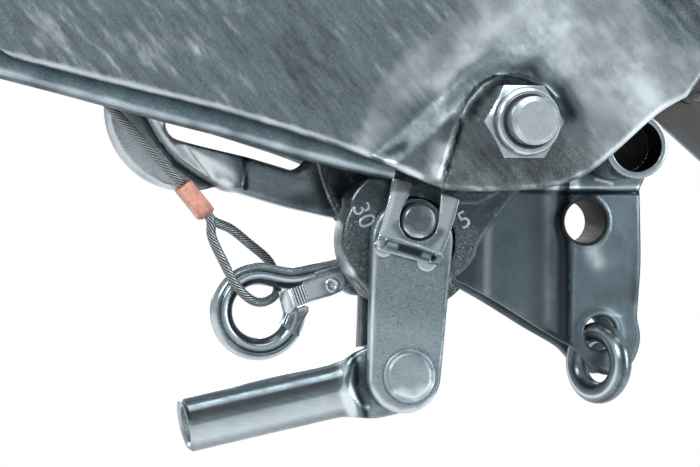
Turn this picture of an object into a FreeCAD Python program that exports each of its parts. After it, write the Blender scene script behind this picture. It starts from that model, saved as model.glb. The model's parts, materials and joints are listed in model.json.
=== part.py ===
import FreeCAD
import Part
import Sketcher
import math
import os

from FreeCAD import Vector

# Trailer overrun coupling, in millimetres. Origin at the centre of the ball socket,
# +X to the rear of the trailer, +Z up, -Y the near (left) side.

doc = FreeCAD.newDocument("overrun_coupling")
sheet = doc.addObject("Spreadsheet::Sheet", "Dims")

DIMENSIONS = {
    "ball_radius": 25.2, "head_wall": 6.5, "head_neck_radius": 32.0, "head_sleeve_front": 58.0,
    "head_sleeve_rear": 128.0, "head_sleeve_wall": 7.0,
    "tube_height": 10.0, "tube_radius": 25.0, "tube_wall": 5.0, "tube_front": 62.0,
    "tube_rear": 396.0, "tube_fit": 0.05,
    "head_bolt_radius": 6.0, "head_bolt_x_front": 74.0, "head_bolt_x_rear": 100.0,
    "bolt_fit": 0.1,
    "pivot_x": 430.0, "pivot_z": -52.0, "pivot_bolt_radius": 8.0, "pivot_nut_flats": 24.0,
    "pivot_nut_height": 16.0, "pivot_bolt_end": 72.0, "pivot_sleeve_radius": 11.0,
    "sheet_metal": 4.0, "side_half_width": 44.0, "side_joggle": 4.0, "seat_depth": 3.0,
    "seat_radius": 16.5, "side_front": 235.0, "side_rear": 620.0, "side_top": 46.0,
    "side_lobe_drop": 22.8, "side_tail_z": -22.0, "channel_gap": 0.5, "channel_sheet": 3.0,
    "channel_front": 247.0, "channel_rear": 390.0, "lip_slope": 13.0, "lip_front_z": -32.1,
    "lip_radius": 3.0, "lip_far_rise": 9.0, "side_front_low": -19.8,
    "arch_x": 78.8, "arch_z": 85.8, "arch_radius": 80.0, "lobe_front": 15.0, "lobe_rear": 11.0,
    "lobe_front_radius": 22.0, "lobe_rear_radius": 24.0, "waist_x": 60.5, "waist_z": 6.8,
    "waist_radius": 15.0, "tail_start": 110.0, "tail_radius": 20.0,
    "bend_angle": 51.5, "bend_run": 14.0, "bend_x": 41.6, "bend_z": 8.0,
    "carrier_length": 24.0, "nose_length": 10.0, "carrier_nose_radius": 31.4,
    "carrier_front_x": 246.0, "carrier_rear_x": 346.0, "bush_wall": 3.5,
    "tube_plug": 8.0, "push_pad_radius": 14.0, "push_pad": 10.0,
    "nipple_radius": 3.0, "nipple_height": 12.0,
    "drawbar_x": 568.0, "drawbar_z": 12.0, "drawbar_pitch_x": 76.0, "drawbar_pitch_z": 44.0,
    "drawbar_hole": 6.5,
    "damper_radius": 17.0, "damper_front": 92.0, "damper_rear": 330.0, "damper_rod_radius": 4.0,
    "damper_solid": 120.0, "damper_rod_inside": 30.0, "damper_pin_x": 520.0,
    "damper_pin_radius": 6.0, "damper_eye_radius": 13.0, "damper_eye_width": 20.0,
    "eye_x": 31.9, "eye_z": 39.2, "eye_radius": 23.4, "swing_hub_radius": 24.0,
    "disc_front": 37.2, "disc_thickness": 12.9, "disc_rim": 3.0, "rim_relief": 1.2,
    "pin_x": 31.8, "pin_z": 32.7, "pin_radius": 6.0, "pin_end": 44.4, "pin_fit": 0.08,
    "pin_head_radius": 8.0, "pin_head": 2.2,
    "link_head_x": 33.6, "link_head_z": 39.5, "link_head_radius": 14.2, "link_end_radius": 12.9,
    "link_sheet": 4.5, "link_gap": 0.3, "rivet_x": 34.8, "rivet_z": 84.5, "rivet_radius": 5.0,
    "rivet_head_radius": 8.7, "rivet_head": 3.0,
    "handle_length": 78.0, "handle_radius": 9.2, "handle_bore": 5.6, "handle_slope": 14.7,
    "handle_plane": 30.9, "handle_eye": 12.2, "handle_eye_length": 13.0, "handle_shoulder": 27.0,
    "clip_sheet": 1.3, "clip_lean": 16.0, "clip_reach": 13.0, "clip_foot": 14.0, "clip_prong": 4.6,
    "arm_sheet": 8.0, "arm_front": 21.0, "arm_slope": 16.0, "slot_rear_x": 69.6,
    "slot_rear_z": 9.6, "slot_length": 35.8, "slot_radius": 6.0, "arm_margin": 13.0,
    "arm_weld_end": 12.0, "lobe_x": 101.8, "lobe_z": 5.5, "lobe_radius": 27.7,
    "arm_joggle": 14.0, "arm_bend_x": 88.0, "arm_bend_run": 22.0,
    "quadrant_radius": 65.0, "quadrant_sheet": 4.5, "quadrant_front": 13.0,
    "hook_pin_x": 46.0, "hook_pin_z": 50.0, "hook_pin_radius": 3.5, "hook_eye_radius": 8.0,
    "hook_eye_sheet": 5.4, "hook_mid": 16.0, "hook_x": 80.4, "hook_z": 63.2,
    "hook_major": 12.8, "hook_bar": 3.8, "gate_rivet_x": 55.9, "gate_rivet_z": 54.4,
    "gate_rivet_radius": 2.0, "gate_sheet": 1.2, "gate_width": 7.0, "gate_length": 15.5,
    "gate_slope": 19.0,
    "cable_radius": 1.55, "ferrule_length": 12.9, "ferrule_width": 5.6, "ferrule_depth": 8.4,
    "ferrule_plane": 26.0, "loop_angle": 122.0, "loop_gap": 0.3, "ferrule_lean": 129.3,
    "anchor_along": 34.0, "anchor_rise": 1.1, "anchor_plane": 29.0, "anchor_radius": 5.0,
    "flange_front": 8.0, "flange_sheet": 3.5, "flange_spacing": 18.5, "lever_hub_radius": 20.0,
    "rod_hole_x": 38.2, "rod_hole_z": 32.9, "rod_hole_radius": 7.4, "ring_hole_x": 43.8,
    "ring_hole_z": 71.5, "ring_hole_radius": 6.0, "lever_right_x": 52.0, "lever_top_z": 22.0,
    "lever_tip_radius": 11.0, "lever_tip_gap": 1.0, "lever_neck_radius": 5.0,
    "collar_radius": 9.6, "collar_height": 1.4,
    "ring_major": 10.5, "ring_bar": 3.7, "ring_turn": 62.0,
    "spacer_x": 49.6, "spacer_z": 7.0, "spacer_radius": 11.3, "spacer_bore": 8.7,
    "spacer_front": 30.0,
    "hand_washer": 2.5, "cheek_sheet": 3.0, "ratchet_sheet": 5.0, "hand_gap": 0.5,
    "ratchet_radius": 62.0, "ratchet_teeth": 14.0, "tooth_depth": 4.0, "ratchet_sweep": 75.0,
    "tooth_half_angle": 2.85, "stay_distance": 40.0, "stay_radius": 5.0,
    "hand_slope": 17.0, "hand_end": 258.0, "hand_tube_radius": 8.2, "hand_tube_wall": 2.0,
    "hand_tube_start": 92.0, "grip_length": 90.0, "grip_wall": 3.5, "button_radius": 6.1,
    "button_rod_radius": 1.8, "button_length": 20.0, "button_proud": 11.0, "grip_cap": 3.0,
    "pawl_pin_radius": 3.5, "pawl_pin_along": 76.8, "pawl_pin_drop": 8.9,
    "pawl_tail_beyond": 7.2, "pawl_tail_up": 1.5, "pawl_tail_radius": 3.5, "pawl_lift": 8.0,
    "pawl_back": 4.6, "pawl_hub_radius": 5.7, "pawl_nose_angle": 16.0, "pawl_nose_depth": 0.8,
    "nose_radius": 0.7, "rod_gap": 0.25,
    "bracket_sheet": 4.0, "bracket_front_x": 82.0, "bracket_low_x": 127.5, "bracket_low_z": 21.5,
    "bracket_rear_x": 142.0, "bracket_hole": 4.5, "bracket_pin_x": 98.0, "bracket_pin_z": 13.5,
    "bracket_pin_radius": 2.5, "bracket_pin_reach": 28.0,
    "handle_pivot_x": -6.0, "handle_pivot_z": 52.0, "grab_length": 92.0, "grab_rise": 30.0,
    "grab_width": 22.0, "grab_window": 34.0, "grab_hub": 9.0, "hinge_pin_radius": 4.0, "latch_width": 16.0,
    "latch_pin_x": 38.0, "latch_pin_z": 18.0, "latch_pin_radius": 4.0, "latch_reach": 25.0,
    "gaiter_front": 116.0, "gaiter_rear_gap": 1.0, "gaiter_outer": 39.0, "gaiter_inner": 31.0,
    "gaiter_folds": 8.0, "gaiter_wall": 2.0,
}

for row, (name, value) in enumerate(DIMENSIONS.items(), start=1):
    sheet.set(f"A{row}", name)
    sheet.set(f"B{row}", str(value))
    sheet.setAlias(f"B{row}", name)
doc.recompute()


class Size:
    """A number together with the expression that keeps it bound to the sheet."""

    def __init__(self, value, text):
        self.value = float(value)
        self.text = text

    def joined(self, other, mark, value):
        return Size(value, f"({self.text} {mark} {size(other).text})")

    def __add__(self, other):
        return self.joined(other, "+", self.value + size(other).value)

    def __radd__(self, other):
        return size(other) + self

    def __sub__(self, other):
        return self.joined(other, "-", self.value - size(other).value)

    def __rsub__(self, other):
        return size(other) - self

    def __mul__(self, other):
        return self.joined(other, "*", self.value * size(other).value)

    def __rmul__(self, other):
        return size(other) * self

    def __truediv__(self, other):
        return self.joined(other, "/", self.value / size(other).value)

    def __neg__(self):
        return size(0) - self


def size(number):
    if isinstance(number, Size):
        return number
    return Size(number, f"({number:.8g})")


def cosine(angle):
    return Size(math.cos(math.radians(angle.value)), f"cos({angle.text} * 1 deg)")


def sine(angle):
    return Size(math.sin(math.radians(angle.value)), f"sin({angle.text} * 1 deg)")


def root(number):
    return Size(math.sqrt(number.value), f"sqrt({number.text})")


class Sheet:
    """Reads a named dimension as a Size."""

    def __getattr__(self, name):
        return Size(sheet.get(name), f"Dims.{name}")


d = Sheet()


def bind(target, path, amount):
    target.setExpression(path, size(amount).text)


def new_body(label):
    body = doc.addObject("PartDesign::Body", label)
    body.Label = label
    return body


def place(body, x, y, z, axis=None, angle=0):
    """Moves a body to a bound point, turned about one axis first."""
    if axis is not None:
        body.Placement = FreeCAD.Placement(Vector(), FreeCAD.Rotation(axis, size(angle).value))
        if isinstance(angle, Size):
            bind(body, "Placement.Rotation.Angle", angle)
    for letter, amount in zip("xyz", (x, y, z)):
        bind(body, f"Placement.Base.{letter}", amount)


def new_sketch(body, plane, name, at=0):
    """A sketch on one of the body's origin planes, shifted along the plane's normal.

    On XZ the normal is -Y, so the shift is a distance towards the near side.
    """
    sketch = body.newObject("Sketcher::SketchObject", name)
    support = next(f for f in body.Origin.OriginFeatures if f.Role == f"{plane}_Plane")
    sketch.AttachmentSupport = [(support, "")]
    sketch.MapMode = "FlatFace"
    bind(sketch, "AttachmentOffset.Base.z", at)
    return sketch


def hold(sketch, kind, references, amount):
    amount = size(amount)
    index = sketch.addConstraint(Sketcher.Constraint(kind, *references, amount.value))
    sketch.setExpression(f"Constraints[{index}]", amount.text)


def hold_point(sketch, curve, point, x, y):
    hold(sketch, "DistanceX", (-1, 1, curve, point), x)
    hold(sketch, "DistanceY", (-1, 1, curve, point), y)


def circle(sketch, x, y, radius):
    x, y, radius = size(x), size(y), size(radius)
    shape = Part.Circle(Vector(x.value, y.value, 0), Vector(0, 0, 1), radius.value)
    index = sketch.addGeometry(shape, False)
    hold_point(sketch, index, 3, x, y)
    hold(sketch, "Radius", (index,), radius)


def polygon(sketch, points):
    """A closed outline through bound corner points."""
    corners = [(size(x), size(y)) for x, y in points]
    flat = [Vector(x.value, y.value, 0) for x, y in corners]
    first = None
    last = None
    for here, there in zip(flat, flat[1:] + flat[:1]):
        index = sketch.addGeometry(Part.LineSegment(here, there), False)
        if first is None:
            first = index
        else:
            sketch.addConstraint(Sketcher.Constraint("Coincident", last, 2, index, 1))
        last = index
    sketch.addConstraint(Sketcher.Constraint("Coincident", last, 2, first, 1))
    for offset, (x, y) in enumerate(corners):
        hold_point(sketch, first + offset, 1, x, y)


def belt(sketch, circles):
    """A closed outline that runs round a row of circles on straight tangents.

    Each circle is x, y, radius and the way round it: 1 keeps it on the left, -1 on the right.
    """
    rounds = [(size(x), size(y), size(r), side) for x, y, r, side in circles]
    tangents = []
    for (x1, y1, r1, s1), (x2, y2, r2, s2) in zip(rounds, rounds[1:] + rounds[:1]):
        a = Vector(x1.value, y1.value, 0)
        b = Vector(x2.value, y2.value, 0)
        way = math.atan2(b.y - a.y, b.x - a.x)
        lean = math.acos((s2 * r2.value - s1 * r1.value) / a.distanceToPoint(b))
        normal = Vector(math.cos(way + lean), math.sin(way + lean), 0)
        tangents.append((a - normal * (s1 * r1.value), b - normal * (s2 * r2.value)))
    arcs = []
    for (x, y, r, side), before, after in zip(rounds, tangents[-1:] + tangents[:-1], tangents):
        centre = Vector(x.value, y.value, 0)
        start = before[1] - centre
        end = after[0] - centre
        if side < 0:
            start, end = end, start
        ring = Part.Circle(centre, Vector(0, 0, 1), r.value)
        low = math.atan2(start.y, start.x)
        high = math.atan2(end.y, end.x)
        if high <= low:
            high += 2 * math.pi
        index = sketch.addGeometry(Part.ArcOfCircle(ring, low, high), False)
        arcs.append((index, (1, 2) if side > 0 else (2, 1)))
        hold_point(sketch, index, 3, x, y)
        hold(sketch, "Radius", (index,), r)
    for (arc, ends), (after_arc, after_ends), (start, end) in zip(arcs, arcs[1:] + arcs[:1], tangents):
        line = sketch.addGeometry(Part.LineSegment(start, end), False)
        sketch.addConstraint(Sketcher.Constraint("Tangent", arc, ends[1], line, 1))
        sketch.addConstraint(Sketcher.Constraint("Tangent", line, 2, after_arc, after_ends[0]))


def pad(body, sketch, length, name):
    feature = body.newObject("PartDesign::Pad", name)
    feature.Profile = sketch
    bind(feature, "Length", length)
    return feature


def pocket(body, sketch, length, name, towards_near=False):
    """Cuts from the sketch away from its normal, or along it when towards_near is set."""
    feature = body.newObject("PartDesign::Pocket", name)
    feature.Profile = sketch
    feature.Reversed = towards_near
    bind(feature, "Length", length)
    return feature


def lathe(body, points, name, cut=False):
    """Turns a half outline (radius, height) about the body's own Z axis."""
    sketch = new_sketch(body, "XZ", f"{name}_outline")
    polygon(sketch, points)
    kind = "PartDesign::Groove" if cut else "PartDesign::Revolution"
    feature = body.newObject(kind, name)
    feature.Profile = sketch
    feature.ReferenceAxis = (sketch, ["V_Axis"])
    feature.Angle = 360
    return feature


X_AXIS = Vector(1, 0, 0)
Y_AXIS = Vector(0, 1, 0)
Z_AXIS = Vector(0, 0, 1)
pivot_x = d.pivot_x
pivot_z = d.pivot_z


def turned_y(label, points, x, near, z):
    """A turned piece whose own Z axis points to the near side, with its zero at depth near."""
    body = new_body(label)
    lathe(body, points, f"{label}_turned")
    place(body, x, -near, z, X_AXIS, 90)
    return body


def turned_x(label, points, x, y, z):
    """A turned piece whose own Z axis points to the rear."""
    body = new_body(label)
    lathe(body, points, f"{label}_turned")
    place(body, x, y, z, Y_AXIS, 90)
    return body


def plate(label, circles, near, thickness, holes=()):
    """A flat plate across the coupling: outline belt, its far face at near - thickness."""
    body = new_body(label)
    outline = new_sketch(body, "XZ", f"{label}_outline", near - thickness)
    belt(outline, circles)
    pad(body, outline, thickness, f"{label}_plate")
    if holes:
        drill(body, holes, near, thickness, f"{label}_holes")
    return body


def drill(body, holes, near, depth, name):
    sketch = new_sketch(body, "XZ", f"{name}_circles", near)
    for x, z, radius in holes:
        circle(sketch, x, z, radius)
    pocket(body, sketch, depth, name)


def part_feature(label, shape):
    feature = doc.addObject("Part::Feature", label)
    feature.Label = label
    feature.Shape = shape
    return feature


# Pressed housing

def side_outline():
    """The lower edge falls to a lobe round the pivot and rises again to a level tail."""
    lobe = d.side_lobe_drop
    return [
        (d.side_front + 7, d.side_front_low, 6, 1),
        (pivot_x - d.arch_x, pivot_z - d.arch_z, d.arch_radius, -1),
        (pivot_x - d.lobe_front, pivot_z + d.lobe_front_radius - lobe, d.lobe_front_radius, 1),
        (pivot_x + d.lobe_rear, pivot_z + d.lobe_rear_radius - lobe, d.lobe_rear_radius, 1),
        (pivot_x + d.waist_x, pivot_z - d.waist_z, d.waist_radius, -1),
        (pivot_x + d.tail_start, d.side_tail_z - d.tail_radius, d.tail_radius, -1),
        (d.side_rear - 8, d.side_tail_z + 8, 8, 1),
        (d.side_rear - 8, d.side_top - 8, 8, 1),
        (d.side_front + 10, d.side_top - 10, 10, 1),
    ]


def joggled_sheet(label, inner, thickness, step, bend, run, reach):
    """An endless sheet in its own frame: flat, an S bend of one step, and flat again.

    The section lies on XY: X runs across the bend and -Y is the near side.
    """
    sketch = doc.addObject("Sketcher::SketchObject", f"{label}_section")
    polygon(sketch, [
        (-reach, -inner),
        (bend - run / 2, -inner),
        (bend + run / 2, -(inner + step)),
        (reach, -(inner + step)),
        (reach, -(inner + step + thickness)),
        (bend + run / 2 - thickness / 4, -(inner + step + thickness)),
        (bend - run / 2 - thickness / 4, -(inner + thickness)),
        (-reach, -(inner + thickness)),
    ])
    block = doc.addObject("Part::Extrusion", f"{label}_strip")
    block.Base = sketch
    block.DirMode = "Custom"
    block.Dir = Z_AXIS
    block.Symmetric = True
    bind(block, "LengthFwd", reach * 2)
    return block


def outline_prism(label, draw, depth):
    """The outline carried through the whole depth of the coupling, from Y 0 to -depth."""
    sketch = doc.addObject("Sketcher::SketchObject", f"{label}_outline")
    sketch.Placement = FreeCAD.Placement(Vector(), FreeCAD.Rotation(X_AXIS, 90))
    draw(sketch)
    prism = doc.addObject("Part::Extrusion", f"{label}_prism")
    prism.Base = sketch
    prism.DirMode = "Normal"
    bind(prism, "LengthFwd", depth)
    prism.Solid = True
    return prism


def combine(kind, label, base, tool):
    feature = doc.addObject(f"Part::{kind}", label)
    feature.Base = base
    feature.Tool = tool
    feature.Label = label
    return feature


def cylinder(label, x, near, z, radius, length):
    """A cylinder that starts at depth near and runs to the far side."""
    feature = doc.addObject("Part::Cylinder", label)
    place(feature, x, -near, z, X_AXIS, -90)
    bind(feature, "Radius", radius)
    bind(feature, "Height", length)
    return feature


def side_plate(label, near):
    """The pressed side: a proud lobe round the pivot, a sunk seat for the nut and bolt holes."""
    inner = d.side_half_width
    outer = inner + d.side_joggle + d.sheet_metal
    strip = joggled_sheet(label, inner, d.sheet_metal, d.side_joggle, size(0), d.bend_run,
                          size(420))
    place(strip, pivot_x - d.bend_x, 0, pivot_z - d.bend_z, Y_AXIS, d.bend_angle)
    strip.Solid = True
    prism = outline_prism(label, lambda sketch: belt(sketch, side_outline()), outer + 1)
    pressed = combine("Common", f"{label}_pressed", prism, strip)

    whole = pressed
    seat = d.seat_radius

    def seat_prism(part, grow, depth_from, depth):
        body = new_body(f"{label}_{part}")
        outline = new_sketch(body, "XZ", f"{label}_{part}_outline", depth_from)
        belt(outline, [
            (pivot_x, pivot_z, seat + grow, 1),
            (pivot_x - 4, pivot_z - 60, seat + grow, 1),
        ])
        pad(body, outline, depth, f"{label}_{part}_pad")
        return body

    if near:
        boss = seat_prism("boss", size(3), outer - d.sheet_metal - d.seat_depth, d.sheet_metal)
        edge = outline_prism(f"{label}_edge", lambda sketch: belt(sketch, side_outline()), outer + 1)
        boss = combine("Common", f"{label}_seat_sheet", boss, edge)
        whole = combine("Fuse", f"{label}_joined", pressed, boss)
        sunk = seat_prism("sunk", size(0), outer - d.seat_depth, d.seat_depth + 1)
        whole = combine("Cut", f"{label}_seated", whole, sunk)
    holes = [(pivot_x, pivot_z, d.pivot_bolt_radius + d.bolt_fit)]
    for across in (-1, 1):
        for up in (-1, 1):
            holes.append((d.drawbar_x + d.drawbar_pitch_x * (across / 2),
                          d.drawbar_z + d.drawbar_pitch_z * (up / 2), d.drawbar_hole))
    holes.append((d.damper_pin_x, d.tube_height, d.damper_pin_radius + d.bolt_fit))
    if not near:
        stay = d.stay_distance * 0.70711
        holes.append((pivot_x + stay, pivot_z + stay, d.stay_radius + 0.02))
    for number, (x, z, radius) in enumerate(holes):
        drill_bit = cylinder(f"{label}_hole_{number}", x, outer + 2, z, radius, outer)
        last = number == len(holes) - 1
        name = f"{label}_shape" if last else f"{label}_drilled_{number}"
        whole = combine("Cut", name, whole, drill_bit)
    if near:
        whole.Label = label
        return whole
    mirror = doc.addObject("Part::Mirroring", label)
    mirror.Source = whole
    mirror.Normal = Y_AXIS
    mirror.Label = label
    return mirror


def inner_channel():
    """The inner channel under the top: two webs whose lower edges slope down to the rear.

    The far web ends higher than the near one by lip_far_rise.
    """
    body = new_body("inner_channel")
    half = d.side_half_width - d.channel_gap
    top = d.side_top - 1
    rear = d.channel_rear
    drop = (rear - d.channel_front) * sine(d.lip_slope) / cosine(d.lip_slope)
    profile = new_sketch(body, "XZ", "channel_outline", -half)
    polygon(profile, [
        (d.channel_front, d.lip_front_z),
        (rear, d.lip_front_z - drop),
        (rear, top),
        (d.channel_front, top),
    ])
    pad(body, profile, half * 2, "channel_block")
    step = new_sketch(body, "XZ", "far_web_step_outline")
    polygon(step, [
        (d.channel_front, d.lip_front_z),
        (rear, d.lip_front_z - drop),
        (rear, d.lip_front_z - drop + d.lip_far_rise),
        (d.channel_front, d.lip_front_z + d.lip_far_rise),
    ])
    pocket(body, step, half, "far_web_step")
    inside = new_sketch(body, "YZ", "channel_inside", d.channel_front - 1)
    under = d.lip_front_z - drop - 10
    polygon(inside, [
        (-half + d.channel_sheet, under),
        (half - d.channel_sheet, under),
        (half - d.channel_sheet, top - d.channel_sheet),
        (-half + d.channel_sheet, top - d.channel_sheet),
    ])
    pocket(body, inside, rear - d.channel_front + 2, "channel_hollow", towards_near=True)
    return body


def lips():
    """The rolled lips: a bead along each web's lower edge."""
    beads = []
    half = d.side_half_width - d.channel_gap
    length = (d.channel_rear - d.channel_front) / cosine(d.lip_slope)
    y = half - d.lip_radius
    for label, y, rise in (("lip_near", -y, size(0)), ("lip_far", y, d.lip_far_rise)):
        bead = doc.addObject("Part::Cylinder", label)
        bind(bead, "Radius", d.lip_radius)
        bind(bead, "Height", length)
        place(bead, d.channel_front, y, d.lip_front_z + rise, Y_AXIS, size(90) + d.lip_slope)
        beads.append(bead)
    return beads


def channel_with_lips():
    channel = inner_channel()
    for number, bead in enumerate(lips()):
        channel.Label = f"channel_step_{number}"
        channel = combine("Fuse", f"channel_lipped_{number}", channel, bead)
    channel.Label = "inner_channel"
    return channel


def bearing_carrier(label, x, nose_length):
    body = new_body(label)
    half = d.side_half_width - d.channel_gap - d.channel_sheet
    top = d.side_top - 1 - d.channel_sheet
    outline = new_sketch(body, "YZ", f"{label}_outline", x)
    corner = 12
    low = d.tube_height - d.tube_radius - d.bush_wall - 6
    belt(outline, [
        (-half + corner, low + corner, corner, 1),
        (half - corner, low + corner, corner, 1),
        (half - 3, top - 3, 3, 1),
        (-half + 3, top - 3, 3, 1),
    ])
    pad(body, outline, d.carrier_length, f"{label}_block")
    nose = new_sketch(body, "YZ", f"{label}_nose_circle", x - nose_length)
    circle(nose, 0, d.tube_height, d.carrier_nose_radius)
    pad(body, nose, nose_length, f"{label}_nose")
    bore = new_sketch(body, "YZ", f"{label}_bore_circle", x + d.carrier_length)
    circle(bore, 0, d.tube_height, d.tube_radius + d.tube_fit + d.bush_wall)
    pocket(body, bore, d.carrier_length + nose_length, f"{label}_bore")
    return body


def bush(label, x, nose_length):
    inner = d.tube_radius + d.tube_fit
    outer = inner + d.bush_wall
    front = -nose_length
    return turned_x(label, [
        (inner + 0.8, front), (outer, front), (outer, d.carrier_length),
        (inner + 0.8, d.carrier_length), (inner, d.carrier_length - 1.5), (inner, front + 1.5),
    ], x, 0, d.tube_height)


def grease_nipples():
    """One nipple over each bearing, screwed through the housing's top."""
    parts = []
    for label, x in (("nipple_front", d.carrier_front_x), ("nipple_rear", d.carrier_rear_x)):
        body = new_body(label)
        r = d.nipple_radius
        tall = d.nipple_height
        lathe(body, [
            (0, 0), (r + 1.2, 0), (r + 1.2, tall / 3), (r, tall / 3), (r - 0.8, tall / 2),
            (r, tall * 0.8), (r - 1, tall), (0, tall),
        ], f"{label}_turned")
        place(body, x + d.carrier_length / 2, 0, d.side_top - 1)
        parts.append(body)
    return combine("Fuse", "grease_nipples", *parts)


def rod_bracket():
    """The bracket welded to the far side plate, for the brake rod's guide, and its pin."""
    face = d.side_half_width + d.side_joggle + d.sheet_metal
    outside = face + d.bracket_sheet
    x = pivot_x + d.bracket_pin_x
    z = pivot_z + d.bracket_pin_z
    low_x = pivot_x + d.bracket_low_x
    low_z = pivot_z - d.bracket_low_z
    bracket = plate("rod_bracket", [
        (pivot_x + d.bracket_front_x, z + 11.5, 5, 1),
        (pivot_x + d.bracket_front_x + 5.5, z - 1.5, 6.4, 1),
        (low_x, low_z, 6.4, 1),
        (pivot_x + d.bracket_rear_x, low_z + 11.5, 6.4, 1),
        (x + 7, z + 13, 4, 1),
    ], -face, d.bracket_sheet, holes=[
        (x, z, d.bracket_pin_radius + 0.02),
        (low_x, low_z + 10, d.bracket_hole),
    ])
    r = d.bracket_pin_radius
    end = d.bracket_pin_reach - face
    pin = turned_y("bracket_pin", [
        (0, -outside - 1.6), (r + 0.8, -outside - 1.6), (r + 1.5, -outside - 0.9),
        (r + 1.5, -outside), (r, -outside), (r, end - 0.6), (r - 0.6, end), (0, end),
    ], x, 0, z)
    return [bracket, pin]


# Pivot

def hexagon_piece(label, flats, height, bore, x, near, z):
    """A hexagon nut with turned corners, standing on depth near and pointing to the near side."""
    body = new_body(label)
    corner = flats / math.sqrt(3)
    outline = new_sketch(body, "XY", f"{label}_hexagon")
    polygon(outline, [
        (corner * round(math.cos(math.radians(60 * step)), 6),
         corner * round(math.sin(math.radians(60 * step)), 6)) for step in range(6)
    ])
    pad(body, outline, height, f"{label}_prism")
    lathe(body, [
        (flats * 0.47, height), (flats * 0.64, height), (flats * 0.64, height - 2.4),
    ], f"{label}_chamfer", cut=True)
    if bore is not None:
        lathe(body, [(0, 0), (bore, 0), (bore, height), (0, height)], f"{label}_bore", cut=True)
    place(body, x, -near, z, X_AXIS, 90)
    return body


def hand_depths():
    """Depths on the far side: first cheek, ratchet, second cheek and the last washer's end."""
    outer = d.side_half_width + d.side_joggle + d.sheet_metal
    first = outer + d.hand_washer
    ratchet_face = first + d.cheek_sheet + d.hand_gap
    second = ratchet_face + d.ratchet_sheet + d.hand_gap
    return first, ratchet_face, second, second + d.cheek_sheet + d.hand_gap


def pivot_group():
    outer = d.side_half_width + d.side_joggle + d.sheet_metal
    seat = outer - d.seat_depth
    r = d.pivot_bolt_radius
    nut = hexagon_piece("pivot_nut", d.pivot_nut_flats, d.pivot_nut_height, r + 0.02,
                        pivot_x, seat, pivot_z)
    first, ratchet_face, second, end = hand_depths()
    head = d.pivot_nut_flats * 0.58
    bolt = turned_y("pivot_bolt", [
        (0, d.pivot_bolt_end), (0, -(end + 13)), (head - 1, -(end + 13)), (head, -(end + 12)),
        (head, -(end + 3)), (r, -(end + 3)), (r, d.pivot_bolt_end - 1.6),
        (r - 1.6, d.pivot_bolt_end),
    ], pivot_x, 0, pivot_z)
    washers = []
    for name, start, thick in (("washer_inner", outer, d.hand_washer), ("washer_outer", end, size(3))):
        washers.append(turned_y(name, [
            (r + d.bolt_fit, -(start + thick)), (r + 8, -(start + thick)), (r + 8, -start),
            (r + d.bolt_fit, -start),
        ], pivot_x, 0, pivot_z))
    washer = combine("Fuse", "pivot_washers", *washers)
    near_inside = seat - d.sheet_metal
    far_inside = outer - d.sheet_metal
    sleeve = turned_y("pivot_sleeve", [
        (r + d.bolt_fit, -far_inside), (d.pivot_sleeve_radius, -far_inside),
        (d.pivot_sleeve_radius, near_inside), (r + d.bolt_fit, near_inside),
    ], pivot_x, 0, pivot_z)
    return [nut, bolt, washer, sleeve]


# Slotted arm and quadrant

def slotted_arm():
    """The formed arm: a lobe set back at the front, an S bend and a slotted end that is welded."""
    slope = d.arm_slope
    ux = cosine(slope)
    uz = -sine(slope)
    rear_x = pivot_x - d.slot_rear_x
    rear_z = pivot_z - d.slot_rear_z
    half = d.slot_radius + d.arm_margin
    end = d.arm_weld_end + 2

    def corner(along, up):
        """A point given along the slot's slope and square to it, from the slot's rear centre."""
        return rear_x + ux * along - uz * up, rear_z + uz * along + ux * up

    def draw(sketch):
        low = corner(end, -half + 3)
        high = corner(end, half - 3)
        belt(sketch, [
            (pivot_x - d.lobe_x, pivot_z + d.lobe_z, d.lobe_radius, 1),
            (low[0], low[1], 3, 1),
            (high[0], high[1], 3, 1),
        ])

    strip = joggled_sheet("slotted_arm", d.arm_front - d.arm_sheet - d.arm_joggle, d.arm_sheet,
                          d.arm_joggle, size(0), d.arm_bend_run, size(200))
    strip.Solid = True
    strip.Placement = FreeCAD.Placement(Vector(), FreeCAD.Rotation(Y_AXIS, 24))
    bind(strip, "Placement.Base.x", pivot_x - d.arm_bend_x)
    bind(strip, "Placement.Base.z", pivot_z)
    prism = outline_prism("slotted_arm", draw, d.arm_front + 10)
    back = combine("Common", "slotted_arm_formed", shifted(prism), strip)
    slot_body = new_body("slot_cutter")
    outline = new_sketch(slot_body, "XZ", "slot_cutter_outline", -20)
    front = corner(-d.slot_length, size(0))
    belt(outline, [
        (front[0], front[1], d.slot_radius, 1),
        (rear_x, rear_z, d.slot_radius, 1),
    ])
    pad(slot_body, outline, 60, "slot_cutter_pad")
    return combine("Cut", "slotted_arm", back, slot_body)


def shifted(prism):
    """Starts the prism 10 mm on the far side of the middle plane."""
    bind(prism, "LengthRev", 10)
    return prism


def quadrant():
    """The welded quadrant round the pivot that carries the slotted arm and the hook's pin."""
    near = d.quadrant_front
    body = new_body("quadrant")
    outline = new_sketch(body, "XZ", "quadrant_outline", near - d.quadrant_sheet)
    reach = d.quadrant_radius - 14
    belt(outline, [
        (pivot_x, pivot_z, d.pivot_sleeve_radius + 8, 1),
        (pivot_x - reach * math.cos(math.radians(8)), pivot_z + reach * math.sin(math.radians(8)),
         14, 1),
        (pivot_x - reach * math.cos(math.radians(16)), pivot_z - reach * math.sin(math.radians(16)),
         14, 1),
        (pivot_x - d.hook_pin_x, pivot_z - d.hook_pin_z, d.hook_pin_radius + 6, 1),
    ])
    pad(body, outline, d.quadrant_sheet, "quadrant_plate")
    drill(body, [
        (pivot_x, pivot_z, d.pivot_sleeve_radius + d.bolt_fit),
        (pivot_x - d.hook_pin_x, pivot_z - d.hook_pin_z, d.hook_pin_radius + 0.02),
    ], near, d.quadrant_sheet, "quadrant_holes")
    return body


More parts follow.
